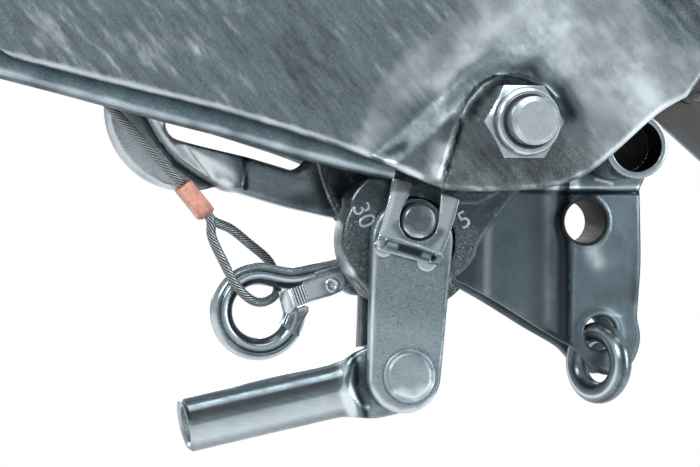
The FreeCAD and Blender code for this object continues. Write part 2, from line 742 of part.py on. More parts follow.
def hook_pin():
    near = d.quadrant_front
    eye = d.hook_mid + d.hook_eye_sheet / 2
    r = d.hook_pin_radius
    back = near - d.quadrant_sheet
    return turned_y("hook_pin", [
        (0, back - 2), (r + 3, back - 2), (r + 3, back), (r, back), (r, eye + 0.1),
        (r - 0.8, eye + 0.6), (0, eye + 0.6),
    ], pivot_x - d.hook_pin_x, 0, pivot_z - d.hook_pin_z)


# Swing arm, links and folding handle

def swing_arm():
    eye_x = pivot_x - d.eye_x
    eye_z = pivot_z - d.eye_z
    near = d.disc_front
    body = new_body("swing_arm")
    outline = new_sketch(body, "XZ", "swing_arm_outline", near - d.disc_thickness)
    belt(outline, [
        (pivot_x, pivot_z, d.swing_hub_radius, 1),
        (eye_x, eye_z, d.eye_radius, 1),
    ])
    pad(body, outline, d.disc_thickness, "swing_arm_plate")
    ring = new_sketch(body, "XZ", "swing_arm_rim", near)
    circle(ring, eye_x, eye_z, d.eye_radius)
    circle(ring, eye_x, eye_z, d.eye_radius - d.disc_rim)
    drill(body, [
        (pivot_x, pivot_z, d.pivot_sleeve_radius + d.pin_fit),
        (pivot_x - d.pin_x, pivot_z - d.pin_z, d.pin_radius + d.pin_fit),
    ], near, d.disc_thickness, "swing_arm_holes")
    body.removeObject(ring)
    doc.removeObject(ring.Name)
    doc.recompute()
    sharp = body.Tip
    edges = []
    for number, edge in enumerate(sharp.Shape.Edges, start=1):
        box = edge.BoundBox
        on_front = abs(box.YMin + near.value) < 0.01 and abs(box.YMax + near.value) < 0.01
        if on_front and edge.Length > 40:
            edges.append(f"Edge{number}")
    bevel = body.newObject("PartDesign::Chamfer", "swing_arm_bevel")
    bevel.Base = (sharp, edges)
    bind(bevel, "Size", d.rim_relief)
    return body


def link_plate(label, near):
    return plate(label, [
        (pivot_x - d.link_head_x, pivot_z - d.link_head_z, d.link_head_radius, 1),
        (pivot_x - d.rivet_x, pivot_z - d.rivet_z, d.link_end_radius, 1),
    ], near, d.link_sheet, [
        (pivot_x - d.pin_x, pivot_z - d.pin_z, d.pin_radius + d.pin_fit),
        (pivot_x - d.rivet_x, pivot_z - d.rivet_z, d.rivet_radius + d.pin_fit),
    ])


def link_faces():
    """Outer depth of the front link plate and of the back one."""
    front = d.disc_front + d.link_gap + d.link_sheet
    back = d.disc_front - d.disc_thickness - d.link_gap
    return front, back


def clevis_pin():
    front, back = link_faces()
    far = back - d.link_sheet
    r = d.pin_radius
    groove = front + 0.1
    return turned_y("clevis_pin", [
        (0, far - d.pin_head), (d.pin_head_radius, far - d.pin_head), (d.pin_head_radius, far - 0.2),
        (r, far - 0.2), (r, groove), (r - 1, groove), (r - 1, groove + d.clip_sheet + 0.2),
        (r, groove + d.clip_sheet + 0.2), (r, d.pin_end - 0.6), (r - 1.5, d.pin_end), (0, d.pin_end),
    ], pivot_x - d.pin_x, 0, pivot_z - d.pin_z)


def pin_clip():
    """The fork clip in the pin's groove: two prongs up, a bridge and a rolled foot."""
    front, back = link_faces()
    near = front + 0.2
    body = new_body("pin_clip")
    inner = d.pin_radius - 1 + d.pin_fit
    wide = inner + d.clip_prong
    outline = new_sketch(body, "XZ", "pin_clip_outline")
    belt(outline, [
        (-wide + 2, -d.clip_foot + 2, 2, 1),
        (wide - 2, -d.clip_foot + 2, 2, 1),
        (wide - 2, d.clip_reach - 2, 2, 1),
        (-wide + 2, d.clip_reach - 2, 2, 1),
    ])
    pad(body, outline, d.clip_sheet, "pin_clip_plate")
    slot = new_sketch(body, "XZ", "pin_clip_slot", d.clip_sheet)
    belt(slot, [
        (0, 0, inner, 1),
        (0, d.clip_reach + inner, inner, 1),
    ])
    pocket(body, slot, d.clip_sheet, "pin_clip_mouth")
    place(body, pivot_x - d.pin_x, -near, pivot_z - d.pin_z, Y_AXIS, d.clip_lean)
    return body


def handle_rivet():
    front, back = link_faces()
    far = back - d.link_sheet
    r = d.rivet_radius
    head = d.rivet_head_radius
    return turned_y("handle_rivet", [
        (0, far - 0.2), (r, far - 0.2), (r, front + 0.1), (head, front + 0.1),
        (head, front + 1.2), (head - 1.6, front + d.rivet_head * 0.7),
        (0, front + d.rivet_head * 0.7),
    ], pivot_x - d.rivet_x, 0, pivot_z - d.rivet_z)


def handle_tube():
    """A thick tube whose inner end is pressed flat into an eye on the rivet.

    Modelled along its own -X axis from the rivet and then turned to its slope.
    """
    front, back = link_faces()
    gap = front - d.link_sheet - d.link_gap
    eye_thick = gap - back - d.link_gap
    body = new_body("handle_tube")
    middle = d.handle_plane
    eye = new_sketch(body, "XZ", "handle_eye_outline", eye_thick * (-0.5))
    belt(eye, [
        (0, 0, d.handle_eye, 1),
        (-d.handle_eye_length, d.handle_radius * 1.1 - 3, 3, 1),
        (-d.handle_eye_length, -d.handle_radius * 1.1 + 3, 3, 1),
    ])
    pad(body, eye, eye_thick, "handle_eye_plate")
    sections = []
    for name, at, wide, deep in (
        ("handle_flat_end", -d.handle_eye_length, d.handle_radius * 1.1, eye_thick / 2),
        ("handle_round_end", -d.handle_shoulder, d.handle_radius, d.handle_radius),
    ):
        section = new_sketch(body, "YZ", name, at)
        corner = 3 if name == "handle_flat_end" else 8.6
        belt(section, [
            (-deep + corner, -wide + corner, corner, 1),
            (deep - corner, -wide + corner, corner, 1),
            (deep - corner, wide - corner, corner, 1),
            (-deep + corner, wide - corner, corner, 1),
        ])
        sections.append(section)
    loft = body.newObject("PartDesign::AdditiveLoft", "handle_neck")
    loft.Profile = sections[0]
    loft.Sections = [sections[1]]
    loft.Ruled = True
    tube = new_sketch(body, "YZ", "handle_tube_circle", -d.handle_length)
    circle(tube, 0, 0, d.handle_radius)
    pad(body, tube, d.handle_length - d.handle_shoulder, "handle_tube_body")
    bore = new_sketch(body, "YZ", "handle_bore_circle", -d.handle_length)
    circle(bore, 0, 0, d.handle_bore)
    pocket(body, bore, d.handle_length - d.handle_shoulder, "handle_bore", towards_near=True)
    drill(body, [(0, 0, d.rivet_radius + d.pin_fit)], d.handle_radius, d.handle_radius * 2,
          "handle_eye_hole")
    place(body, pivot_x - d.rivet_x, -middle, pivot_z - d.rivet_z, Y_AXIS, -d.handle_slope)
    return body


# Snap hook and breakaway cable

def point(x, near, z):
    return Vector(size(x).value, -size(near).value, size(z).value)


def rounded_path(points, radii):
    """Straight runs joined by tangent arcs at the inner points."""
    edges = []
    start = points[0]
    for before, here, after, radius in zip(points, points[1:], points[2:], radii):
        into = (here - before).normalize()
        out = (after - here).normalize()
        half = into.getAngle(out) / 2
        cut = radius * math.tan(half)
        arc_start = here - into * cut
        arc_end = here + out * cut
        inward = (out - into).normalize()
        middle = here + inward * (radius / math.cos(half) - radius)
        edges.append(Part.LineSegment(start, arc_start).toShape())
        edges.append(Part.Arc(arc_start, middle, arc_end).toShape())
        start = arc_end
    edges.append(Part.LineSegment(start, points[-1]).toShape())
    return Part.Wire(edges)


def swept(path, radius):
    start = path.OrderedEdges[0]
    section = Part.Wire([Part.makeCircle(radius, start.valueAt(start.FirstParameter),
                                         start.tangentAt(start.FirstParameter))])
    shape = path.makePipeShell([section], True, True)
    print("swept volume over section times length", shape.Volume
          / (math.pi * radius * radius * path.Length))
    return shape


def snap_hook():
    """The forged hook: an open ring, its shank and a flat eye on the pin."""
    cx = pivot_x.value - d.hook_x.value
    cz = pivot_z.value - d.hook_z.value
    mid = d.hook_mid.value
    major = d.hook_major.value
    bar = d.hook_bar.value

    def on_ring(degrees, radius=major):
        return Vector(cx + radius * math.cos(math.radians(degrees)), -mid,
                      cz + radius * math.sin(math.radians(degrees)))

    ring = Part.Arc(on_ring(56), on_ring(200), on_ring(-10)).toShape()
    eye = point(pivot_x - d.hook_pin_x, d.hook_mid, pivot_z - d.hook_pin_z)
    root_point = on_ring(56)
    bend = root_point + Vector(6, 0, -2.2)
    shank = Part.Wire([Part.Arc(on_ring(56), root_point + Vector(2.8, 0, -1.4), bend).toShape()])
    section = Part.Wire([Part.makeCircle(bar, on_ring(56), Vector(-math.sin(math.radians(56)), 0,
                                                                 math.cos(math.radians(56))))])
    body = Part.Wire([ring]).makePipeShell([section], True, True)
    nose = Part.makeSphere(bar, on_ring(-10))
    knuckle = Part.makeSphere(bar, on_ring(56))
    along = (eye - root_point).normalize()
    bar_length = eye.distanceToPoint(root_point)
    bar_shape = Part.makeCone(bar, d.hook_eye_sheet.value / 2 - 0.05, bar_length, root_point, along)
    sheet_half = d.hook_eye_sheet.value / 2
    disc = Part.makeCylinder(d.hook_eye_radius.value, sheet_half * 2,
                             Vector(eye.x, -mid - sheet_half, eye.z), Y_AXIS)
    shape = body.fuse([nose, knuckle, bar_shape, disc])
    hole = Part.makeCylinder(d.hook_pin_radius.value + 0.02, 20,
                             Vector(eye.x, -mid - 10, eye.z), Y_AXIS)
    shape = shape.cut(hole)
    front = mid + bar - 0.6
    rivet = point(pivot_x - d.gate_rivet_x, 0, pivot_z - d.gate_rivet_z)
    trim = Part.makeBox(120, 10, 120, Vector(rivet.x - 60, -front - 10, rivet.z - 60))
    shape = shape.cut(trim)
    boss = Part.makeCylinder(4.2, front - mid, Vector(rivet.x, -front, rivet.z), Y_AXIS)
    shape = shape.fuse(boss)
    rivet_hole = Part.makeCylinder(d.gate_rivet_radius.value + 0.01, 20,
                                   Vector(rivet.x, -front - 5, rivet.z), Y_AXIS)
    return part_feature("snap_hook", shape.cut(rivet_hole).removeSplitter())


def gate_front():
    return d.hook_mid + d.hook_bar - 0.6


def hook_gate():
    """The leaf gate: a flat strip on the hook's face from its rivet to inside the ring."""
    body = new_body("hook_gate")
    half = d.gate_width / 2
    outline = new_sketch(body, "XZ", "hook_gate_outline")
    belt(outline, [
        (0, 0, half, 1),
        (-d.gate_length + half, half - 1.2, 1.2, 1),
        (-d.gate_length + half, -half + 1.2, 1.2, 1),
    ])
    pad(body, outline, d.gate_sheet, "hook_gate_plate")
    drill(body, [(0, 0, d.gate_rivet_radius + d.pin_fit)], d.gate_sheet, d.gate_sheet,
          "hook_gate_hole")
    place(body, pivot_x - d.gate_rivet_x, -(gate_front() + 0.1), pivot_z - d.gate_rivet_z,
          Y_AXIS, -d.gate_slope)
    return body


def gate_rivet():
    face = gate_front()
    top = face + 0.1 + d.gate_sheet + 0.1
    r = d.gate_rivet_radius
    return turned_y("gate_rivet", [
        (0, d.hook_mid - 2), (r, d.hook_mid - 2), (r, top), (r + 1.2, top), (r + 0.7, top + 0.8),
        (0, top + 0.8),
    ], pivot_x - d.gate_rivet_x, 0, pivot_z - d.gate_rivet_z)


def loop_points():
    """The loop's legs, the ferrule and the way up to the anchor, as plain points."""
    angle = math.radians(d.loop_angle.value)
    radial = Vector(math.cos(angle), 0, math.sin(angle))
    centre = point(pivot_x - d.hook_x, d.hook_mid, pivot_z - d.hook_z)
    band = centre + radial * d.hook_major.value
    bend = d.hook_bar.value + d.cable_radius.value + d.loop_gap.value
    low = band + radial * 25.3
    plane = d.ferrule_plane.value
    low = Vector(low.x, -plane, low.z)
    lean = math.radians(d.ferrule_lean.value)
    up = Vector(math.cos(lean), 0, math.sin(lean))
    high = low + up * d.ferrule_length.value
    return radial, band, bend, low, high, up


def breakaway_cable():
    radial, band, bend, low, high, up = loop_points()
    r = d.cable_radius.value
    side = d.cable_radius.value + 0.05
    anchor = point(d.channel_front + d.anchor_along, d.anchor_plane,
                   d.lip_front_z + d.anchor_rise)
    lift = up * 1.5
    near_leg = Vector(low.x, low.y - side, low.z) + lift
    far_leg = Vector(low.x, low.y + side, low.z) + lift
    across = Vector(0, bend, 0)
    straight = radial * 5
    inside = band - radial * bend
    loop = rounded_path([
        near_leg, band - across + straight, inside - across, inside + across,
        band + across + straight, far_leg,
    ], [10.0, bend - 0.01, bend - 0.01, 8.0])
    top = high - up * 1.5
    middle = top + (anchor - top) * 0.5 + Vector(0.6, 0, -0.9)
    print("cable arc radii", [10.0, round(bend, 1), round(bend, 1), 8.0, 60.0])
    rise = rounded_path([top, middle, anchor], [60.0])
    shape = Part.makeCompound([swept(loop, r), swept(rise, r)])
    return part_feature("breakaway_cable", shape)


def ferrule():
    radial, band, bend, low, high, up = loop_points()
    narrow = d.ferrule_width.value / 2
    deep = d.ferrule_depth.value / 2
    frame = FreeCAD.Placement(low, FreeCAD.Rotation(Z_AXIS, up))
    run = deep - narrow
    outline = Part.Wire([
        Part.LineSegment(Vector(-narrow, -run, 0), Vector(-narrow, run, 0)).toShape(),
        Part.Arc(Vector(-narrow, run, 0), Vector(0, deep, 0), Vector(narrow, run, 0)).toShape(),
        Part.LineSegment(Vector(narrow, run, 0), Vector(narrow, -run, 0)).toShape(),
        Part.Arc(Vector(narrow, -run, 0), Vector(0, -deep, 0), Vector(-narrow, -run, 0)).toShape(),
    ])
    shape = Part.Face(outline).extrude(Vector(0, 0, d.ferrule_length.value))
    shape.Placement = frame
    return part_feature("cable_ferrule", shape)


def cable_anchor():
    """A welded lug on the channel with the swaged end of the cable in it."""
    half = d.side_half_width - d.channel_gap - d.channel_sheet
    return turned_y("cable_anchor", [
        (0, d.anchor_plane - 5), (d.anchor_radius, d.anchor_plane - 5), (d.anchor_radius, half),
        (0, half),
    ], d.channel_front + d.anchor_along - 2, 0, d.lip_front_z + d.anchor_rise + 2)


# Reversing lever

def lever_flange(body, name, near):
    outline = new_sketch(body, "XZ", f"{name}_outline", near - d.flange_sheet)
    belt(outline, [
        (pivot_x - 2, pivot_z - 48, 8, 1),
        (pivot_x + d.ring_hole_x, pivot_z - d.ring_hole_z, 12.5, 1),
        (pivot_x + d.lever_right_x - 5, pivot_z - d.lever_top_z - 5, 5, 1),
        (pivot_x, pivot_z, d.lever_hub_radius, 1),
    ])
    pad(body, outline, d.flange_sheet, name)
    arm = new_sketch(body, "XZ", f"{name}_arm_outline", near - d.flange_sheet)
    tip = lever_tip()
    belt(arm, [
        (pivot_x, pivot_z, d.lever_neck_radius * 2, 1),
        (*tip, d.lever_neck_radius, 1),
    ])
    pad(body, arm, d.flange_sheet, f"{name}_arm")
    knob = new_sketch(body, "XZ", f"{name}_tip_circle", near - d.flange_sheet)
    circle(knob, *tip, d.lever_tip_radius)
    pad(body, knob, d.flange_sheet, f"{name}_tip")


def lever_tip():
    """The tip's centre: its front touches the tube's end, gap apart, at the tube's height."""
    return d.tube_rear + d.lever_tip_gap + d.lever_tip_radius, d.tube_height


def reversing_lever():
    """A pressed U: two flanges joined by a web, with a fork that meets the draw tube's end."""
    body = new_body("reversing_lever")
    front = d.flange_front
    rear = front - d.flange_spacing
    lever_flange(body, "lever_front", front)
    lever_flange(body, "lever_rear", rear)
    web = new_sketch(body, "XZ", "lever_web_outline", rear - d.flange_sheet)
    right = pivot_x + d.lever_right_x
    top = pivot_z - d.lever_top_z - 6
    polygon(web, [
        (right, top), (right - d.flange_sheet, top),
        (right - d.flange_sheet, pivot_z - d.ring_hole_z + 6), (right, pivot_z - d.ring_hole_z + 6),
    ])
    pad(body, web, d.flange_spacing + d.flange_sheet, "lever_web")
    hub = new_sketch(body, "XZ", "lever_hub_circle", rear - d.flange_sheet)
    circle(hub, pivot_x, pivot_z, d.pivot_sleeve_radius + 4)
    pad(body, hub, d.flange_spacing + d.flange_sheet, "lever_hub")
    collar = new_sketch(body, "XZ", "lever_collar_circle", front)
    circle(collar, pivot_x + d.rod_hole_x, pivot_z - d.rod_hole_z, d.collar_radius)
    pad(body, collar, d.collar_height, "lever_collar")
    depth = d.flange_spacing + d.flange_sheet + d.collar_height
    drill(body, [
        (pivot_x, pivot_z, d.pivot_sleeve_radius + d.pin_fit),
        (pivot_x + d.rod_hole_x, pivot_z - d.rod_hole_z, d.rod_hole_radius),
        (pivot_x + d.ring_hole_x, pivot_z - d.ring_hole_z, d.ring_hole_radius),
    ], front + d.collar_height, depth, "lever_holes")
    saddle = new_sketch(body, "XZ", "lever_pipe_saddle", front + d.collar_height)
    circle(saddle, pivot_x + d.spacer_x, pivot_z - d.spacer_z, d.spacer_radius)
    pocket(body, saddle, depth, "lever_saddle")
    return body


def lever_pipe():
    """The short pipe welded across the lever's upper corner."""
    far = d.flange_front - d.flange_spacing - d.flange_sheet - 4
    return turned_y("lever_pipe", [
        (d.spacer_bore, far), (d.spacer_radius, far), (d.spacer_radius, d.spacer_front - 0.6),
        (d.spacer_radius - 0.6, d.spacer_front), (d.spacer_bore + 0.6, d.spacer_front),
        (d.spacer_bore, d.spacer_front - 0.6),
    ], pivot_x + d.spacer_x, 0, pivot_z - d.spacer_z)


def ring_link():
    feature = doc.addObject("Part::Torus", "ring_link")
    feature.Label = "ring_link"
    bind(feature, "Radius1", d.ring_major)
    bind(feature, "Radius2", d.ring_bar)
    turn = FreeCAD.Rotation(Z_AXIS, -d.ring_turn.value) * FreeCAD.Rotation(X_AXIS, 90)
    feature.Placement = FreeCAD.Placement(Vector(), turn)
    bind(feature, "Placement.Base.x", pivot_x + d.ring_hole_x)
    bind(feature, "Placement.Base.y", -(d.flange_front - d.flange_sheet / 2))
    bind(feature, "Placement.Base.z", pivot_z - d.ring_hole_z - d.ring_major)
    return feature


# Draw tube, head and damper

def draw_tube():
    """The sliding tube; the push pad in its rear end meets the reversing lever's fork."""
    end = d.tube_rear - d.push_pad
    plug = end - d.tube_plug
    body = turned_x("draw_tube", [
        (d.tube_radius - d.tube_wall, d.tube_front), (d.tube_radius, d.tube_front),
        (d.tube_radius, end - 1), (d.tube_radius - 1, end), (d.push_pad_radius, end),
        (d.push_pad_radius, d.tube_rear - 1), (d.push_pad_radius - 1, d.tube_rear),
        (d.damper_rod_radius + 0.6, d.tube_rear), (d.damper_rod_radius + 0.6, plug),
        (d.tube_radius - d.tube_wall, plug),
    ], 0, 0, d.tube_height)
    cross = new_sketch(body, "XZ", "draw_tube_cross_holes", d.tube_radius + 1)
    for x in (d.head_bolt_x_front, d.head_bolt_x_rear):
        circle(cross, 0, x, d.head_bolt_radius + d.bolt_fit)
    pocket(body, cross, d.tube_radius * 2 + 2, "draw_tube_cross")
    return body


def coupling_head():
    """The cast head: a ball cup open below, a neck and a bored sleeve."""
    body = new_body("coupling_head")
    inner = d.ball_radius
    outer = inner + d.head_wall
    dome = new_sketch(body, "XZ", "cup_outline")
    low = 13
    steps = 10
    rim = root(outer * outer - low * low)
    outer_points = []
    for step in range(steps + 1):
        angle = math.asin(-low / outer.value) + (math.pi / 2 - math.asin(-low / outer.value)) \
            * step / steps
        outer_points.append((outer * round(math.cos(angle), 6), outer * round(math.sin(angle), 6)))
    outer_points[0] = (rim, size(-low))
    polygon(dome, outer_points + [(size(0), size(-low))])
    cup = body.newObject("PartDesign::Revolution", "cup")
    cup.Profile = dome
    cup.ReferenceAxis = (dome, ["V_Axis"])
    cup.Angle = 360
    sections = []
    for name, at, half_wide, low_z, high_z, corner in (
        ("neck_front", size(4), size(24), size(-12), size(26), 8),
        ("neck_rear", d.head_sleeve_front + 4, d.head_neck_radius, d.tube_height - 32,
         d.tube_height + 32, 14),
    ):
        section = new_sketch(body, "YZ", name, at)
        belt(section, [
            (-half_wide + corner, low_z + corner, corner, 1),
            (half_wide - corner, low_z + corner, corner, 1),
            (half_wide - corner, high_z - corner, corner, 1),
            (-half_wide + corner, high_z - corner, corner, 1),
        ])
        sections.append(section)
    neck = body.newObject("PartDesign::AdditiveLoft", "neck")
    neck.Profile = sections[0]
    neck.Sections = [sections[1]]
    neck.Ruled = True
    sleeve = new_sketch(body, "YZ", "sleeve_circle", d.head_sleeve_front)
    circle(sleeve, 0, d.tube_height, d.head_neck_radius)
    pad(body, sleeve, d.head_sleeve_rear - d.head_sleeve_front, "sleeve")
    bore = new_sketch(body, "YZ", "sleeve_bore_circle", d.head_sleeve_rear)
    circle(bore, 0, d.tube_height, d.tube_radius + d.tube_fit)
    pocket(body, bore, d.head_sleeve_rear - d.tube_front, "sleeve_bore")
    ball = new_sketch(body, "XZ", "ball_outline")
    points = []
    for step in range(steps + 1):
        angle = math.pi / 2 * step / steps
        points.append((inner * round(math.cos(angle), 6), inner * round(math.sin(angle), 6)))
    polygon(ball, points + [(size(0), size(-low - 20)), (inner, size(-low - 20))])
    socket = body.newObject("PartDesign::Groove", "socket")
    socket.Profile = ball
    socket.ReferenceAxis = (ball, ["V_Axis"])
    socket.Angle = 360
    cross = new_sketch(body, "XZ", "head_cross_holes", d.head_neck_radius + 1)
    for x in (d.head_bolt_x_front, d.head_bolt_x_rear):
        circle(cross, x, d.tube_height, d.head_bolt_radius + d.bolt_fit)
    pocket(body, cross, d.head_neck_radius * 2 + 2, "head_cross")
    for side in (-1, 1):
        name = "ear_near" if side > 0 else "ear_far"
        ear = new_sketch(body, "XZ", f"{name}_outline",
                         d.grab_width / 2 + 0.5 if side > 0 else -(d.grab_width / 2 + 4.5))
        belt(ear, [
            (d.handle_pivot_x, d.handle_pivot_z, 8, 1),
            (d.handle_pivot_x - 4, 22, 6, 1),
            (30, 26, 6, 1),
        ])
        pad(body, ear, 4, name)
    drill(body, [(d.handle_pivot_x, d.handle_pivot_z, d.hinge_pin_radius + 0.02)], size(20), 40,
          "ear_holes")
    room = new_sketch(body, "XY", "latch_room_outline", d.latch_pin_z + 10)
    half = d.latch_width / 2 + 0.6
    front = d.latch_pin_x - 18
    rear = d.latch_pin_x + 19
    polygon(room, [(front, -half), (rear, -half), (rear, half), (front, half)])
    pocket(body, room, 60, "latch_room")
    drill(body, [(d.latch_pin_x, d.latch_pin_z, d.latch_pin_radius + 0.02)], size(40), 80,
          "latch_pin_holes")
    return body


def head_pins():
    """The handle's pin between its ears and the latch's pin across the neck."""
    reach = d.grab_width / 2 + 5.5
    r = d.hinge_pin_radius
    pin = turned_y("handle_pin", [
        (0, -reach), (r - 0.5, -reach), (r, -reach + 0.5), (r, reach), (r + 1.8, reach),
        (r + 1.8, reach + 1.4), (r + 0.8, reach + 2.2), (0, reach + 2.2),
    ], d.handle_pivot_x, 0, d.handle_pivot_z)
    wide = d.head_neck_radius - 2.6
    r = d.latch_pin_radius
    other = turned_y("latch_pin", [
        (0, -wide), (r - 0.5, -wide), (r, -wide + 0.5), (r, wide - 0.5), (r - 0.5, wide), (0, wide),
    ], d.latch_pin_x, 0, d.latch_pin_z)
    return [pin, other]


def coupling_handle():
    """The grab lever on the head: a hub between the ears and a raised hand loop to the rear."""
    body = new_body("coupling_handle")
    wide = d.grab_width
    x = d.handle_pivot_x
    z = d.handle_pivot_z
    outline = new_sketch(body, "XZ", "grab_outline", wide * (-0.5))
    belt(outline, [
        (x, z, d.grab_hub, 1),
        (x + d.grab_length, z + d.grab_rise - 22, 7, 1),
        (x + d.grab_length - 6, z + d.grab_rise - 8, 7, 1),
        (x + 26, z + d.grab_rise - 14, 12, 1),
    ])
    pad(body, outline, wide, "grab")
    window = new_sketch(body, "XY", "grab_window_outline", z + d.grab_rise + 40)
    belt(window, [
        (x + d.grab_window, 0, 6, 1),
        (x + d.grab_length - 14, 0, 6, 1),
    ])
    pocket(body, window, d.grab_rise + 80, "grab_window")
    drill(body, [(x, z, d.hinge_pin_radius + d.pin_fit)], wide / 2, wide, "grab_hole")
    return body


def ball_latch():
    """The jaw behind the ball, hung on its pin in the neck."""
    body = new_body("ball_latch")
    half = d.latch_width / 2
    outline = new_sketch(body, "XZ", "latch_outline", -half)
    x = d.latch_pin_x
    z = d.latch_pin_z
    belt(outline, [
        (x, z, 8, 1),
        (d.ball_radius + 6.5, z - d.latch_reach, 5, 1),
        (x + 3, z - d.latch_reach + 3, 5, 1),
    ])
    pad(body, outline, half * 2, "latch")
    drill(body, [(x, z, d.latch_pin_radius + d.pin_fit)], half, half * 2, "latch_hole")
    return body


def cross_bolts(label, head):
    """The two cross bolts of the head, or the nuts on their far ends."""
    pieces = []
    for number, x in enumerate((d.head_bolt_x_front, d.head_bolt_x_rear)):
        r = d.head_bolt_radius
        face = d.head_neck_radius
        if head:
            bolt = turned_y(f"{label}_{number}", [
                (0, face + 7.5), (r + 3.5, face + 7.5), (r + 4.2, face + 6.6), (r + 4.2, face),
                (r, face), (r, -(face + 14)), (0, -(face + 14)),
            ], x, 0, d.tube_height)
            pieces.append(bolt)
        else:
            nut = hexagon_piece(f"{label}_{number}", size(19), size(10), None, x, size(0),
                                d.tube_height)
            lathe(nut, [(0, 0), (r + 0.02, 0), (r + 0.02, 10), (0, 10)], f"{label}_{number}_bore",
                  cut=True)
            place(nut, x, face, d.tube_height, X_AXIS, -90)
            pieces.append(nut)
    return combine("Fuse", label, *pieces)


def damper():
    """The damper's cylinder is held in the tube; its rod runs back to a pin in the housing."""
    r = d.damper_radius
    rod = d.damper_rod_radius
    cylinder_body = turned_x("damper_cylinder", [
        (0, d.damper_front), (r, d.damper_front), (r, d.damper_rear),
        (rod + d.pin_fit, d.damper_rear), (rod + d.pin_fit, d.damper_front + d.damper_solid),
        (0, d.damper_front + d.damper_solid),
    ], 0, 0, d.tube_height)
    cross = new_sketch(cylinder_body, "XZ", "damper_cross_hole", r + 1)
    circle(cross, 0, d.head_bolt_x_rear, d.head_bolt_radius + 0.02)
    pocket(cylinder_body, cross, r * 2 + 2, "damper_cross")
    eye = d.damper_eye_radius
    start = d.damper_rear - d.damper_rod_inside
    wide = d.damper_eye_width
    rod_body = turned_x("damper_rod", [
        (0, start), (rod, start), (rod, d.damper_pin_x - eye + 2), (0, d.damper_pin_x - eye + 2),
    ], 0, 0, d.tube_height)
    knuckle = new_sketch(rod_body, "XZ", "damper_eye_circle", wide * (-0.5))
    circle(knuckle, 0, d.damper_pin_x, eye)
    pad(rod_body, knuckle, wide, "damper_eye")
    hole = new_sketch(rod_body, "XZ", "damper_eye_hole", wide / 2)
    circle(hole, 0, d.damper_pin_x, d.damper_pin_radius + 0.02)
    pocket(rod_body, hole, wide, "damper_eye_bore")
    outer = d.side_half_width + d.side_joggle + d.sheet_metal
    pr = d.damper_pin_radius
    pin = turned_y("damper_pin", [
        (0, outer + 7), (pr + 3, outer + 7), (pr + 4, outer + 6), (pr + 4, outer), (pr, outer),
        (pr, -outer), (pr + 4, -outer), (pr + 4, -(outer + 8)), (0, -(outer + 8)),
    ], d.damper_pin_x, 0, d.tube_height)
    return [cylinder_body, rod_body, pin]


def gaiter():
    """The rubber bellows between the head and the housing."""
    folds = int(d.gaiter_folds.value)
    rear = d.carrier_front_x - d.gaiter_rear_gap
    pitch = (rear - d.gaiter_front - 12) / d.gaiter_folds
    outside = []
    inside = []
    start = d.gaiter_front + 6
    cuff = d.head_neck_radius + 0.3
    for fold in range(folds):
        valley = d.gaiter_inner if fold else cuff
        outside.append((valley + d.gaiter_wall, start + pitch * fold))
        outside.append((d.gaiter_outer, start + pitch * (fold + 0.5)))
        inside.append((valley, start + pitch * fold))
        inside.append((d.gaiter_outer - d.gaiter_wall, start + pitch * (fold + 0.5)))
    outline = [(cuff, d.gaiter_front), (cuff + d.gaiter_wall, d.gaiter_front)] + outside
    outline += [(cuff + d.gaiter_wall, rear - 6), (cuff + d.gaiter_wall, rear)]
    outline += [(cuff, rear), (cuff, rear - 6)] + inside[::-1]
    return turned_x("gaiter", outline, 0, 0, d.tube_height)


# Handbrake on the far side

def seat_hand_body(body):
    """Moves a body drawn in the lever's own frame, the lever along -X, to its place."""
    place(body, pivot_x, 0, pivot_z, Y_AXIS, d.hand_slope)
    return body


def ratchet_segment():
    """The toothed segment between the lever's cheeks, with a lug for its stay."""
    first, face, second, end = hand_depths()
    body = new_body("ratchet_segment")
    far = -(face + d.ratchet_sheet)
    disc = new_sketch(body, "XZ", "ratchet_disc", far)
    circle(disc, 0, 0, d.ratchet_radius)
    pad(body, disc, d.ratchet_sheet, "ratchet_round")
    rest = new_sketch(body, "XZ", "ratchet_rest", -face)
    wide = d.ratchet_radius + 30
    low = math.radians(186)
    high = math.radians(98)
    polygon(rest, [
        (0, 0), (wide * round(math.cos(low), 6), wide * round(math.sin(low), 6)),
        (-wide, -wide), (wide, -wide), (wide, wide),
        (wide * round(math.cos(high), 6), wide * round(math.sin(high), 6)),
    ])
    pocket(body, rest, d.ratchet_sheet, "ratchet_waste")
    hub = new_sketch(body, "XZ", "ratchet_hub", far)
    stay = d.stay_distance * 0.70711
    belt(hub, [
        (0, 0, d.pivot_bolt_radius + 8, 1),
        (stay, stay, d.stay_radius + 5, 1),
    ])
    pad(body, hub, d.ratchet_sheet, "ratchet_lug")
    notch = new_sketch(body, "XZ", "ratchet_notch", -face)
    start = 179.0
    half = d.tooth_half_angle
    mouth = d.ratchet_radius + 1
    polygon(notch, [
        (-mouth * cosine(size(180 - start) - half), mouth * sine(size(180 - start) - half)),
        (-mouth * cosine(size(180 - start) + half), mouth * sine(size(180 - start) + half)),
        (-(d.ratchet_radius - d.tooth_depth) * cosine(size(180 - start)),
         (d.ratchet_radius - d.tooth_depth) * sine(size(180 - start))),
    ])
    tooth = pocket(body, notch, d.ratchet_sheet, "ratchet_tooth")
    doc.recompute()
    row = body.newObject("PartDesign::PolarPattern", "ratchet_teeth")
    row.Originals = [tooth]
    row.Axis = (next(f for f in body.Origin.OriginFeatures if f.Role == "Y_Axis"), [""])
    bind(row, "Angle", d.ratchet_sweep)
    bind(row, "Occurrences", d.ratchet_teeth)
    body.Tip = row
    drill(body, [(0, 0, d.pivot_bolt_radius + d.bolt_fit), (stay, stay, d.stay_radius + 0.02)],
          -face, d.ratchet_sheet, "ratchet_holes")
    place(body, pivot_x, 0, pivot_z)
    return body


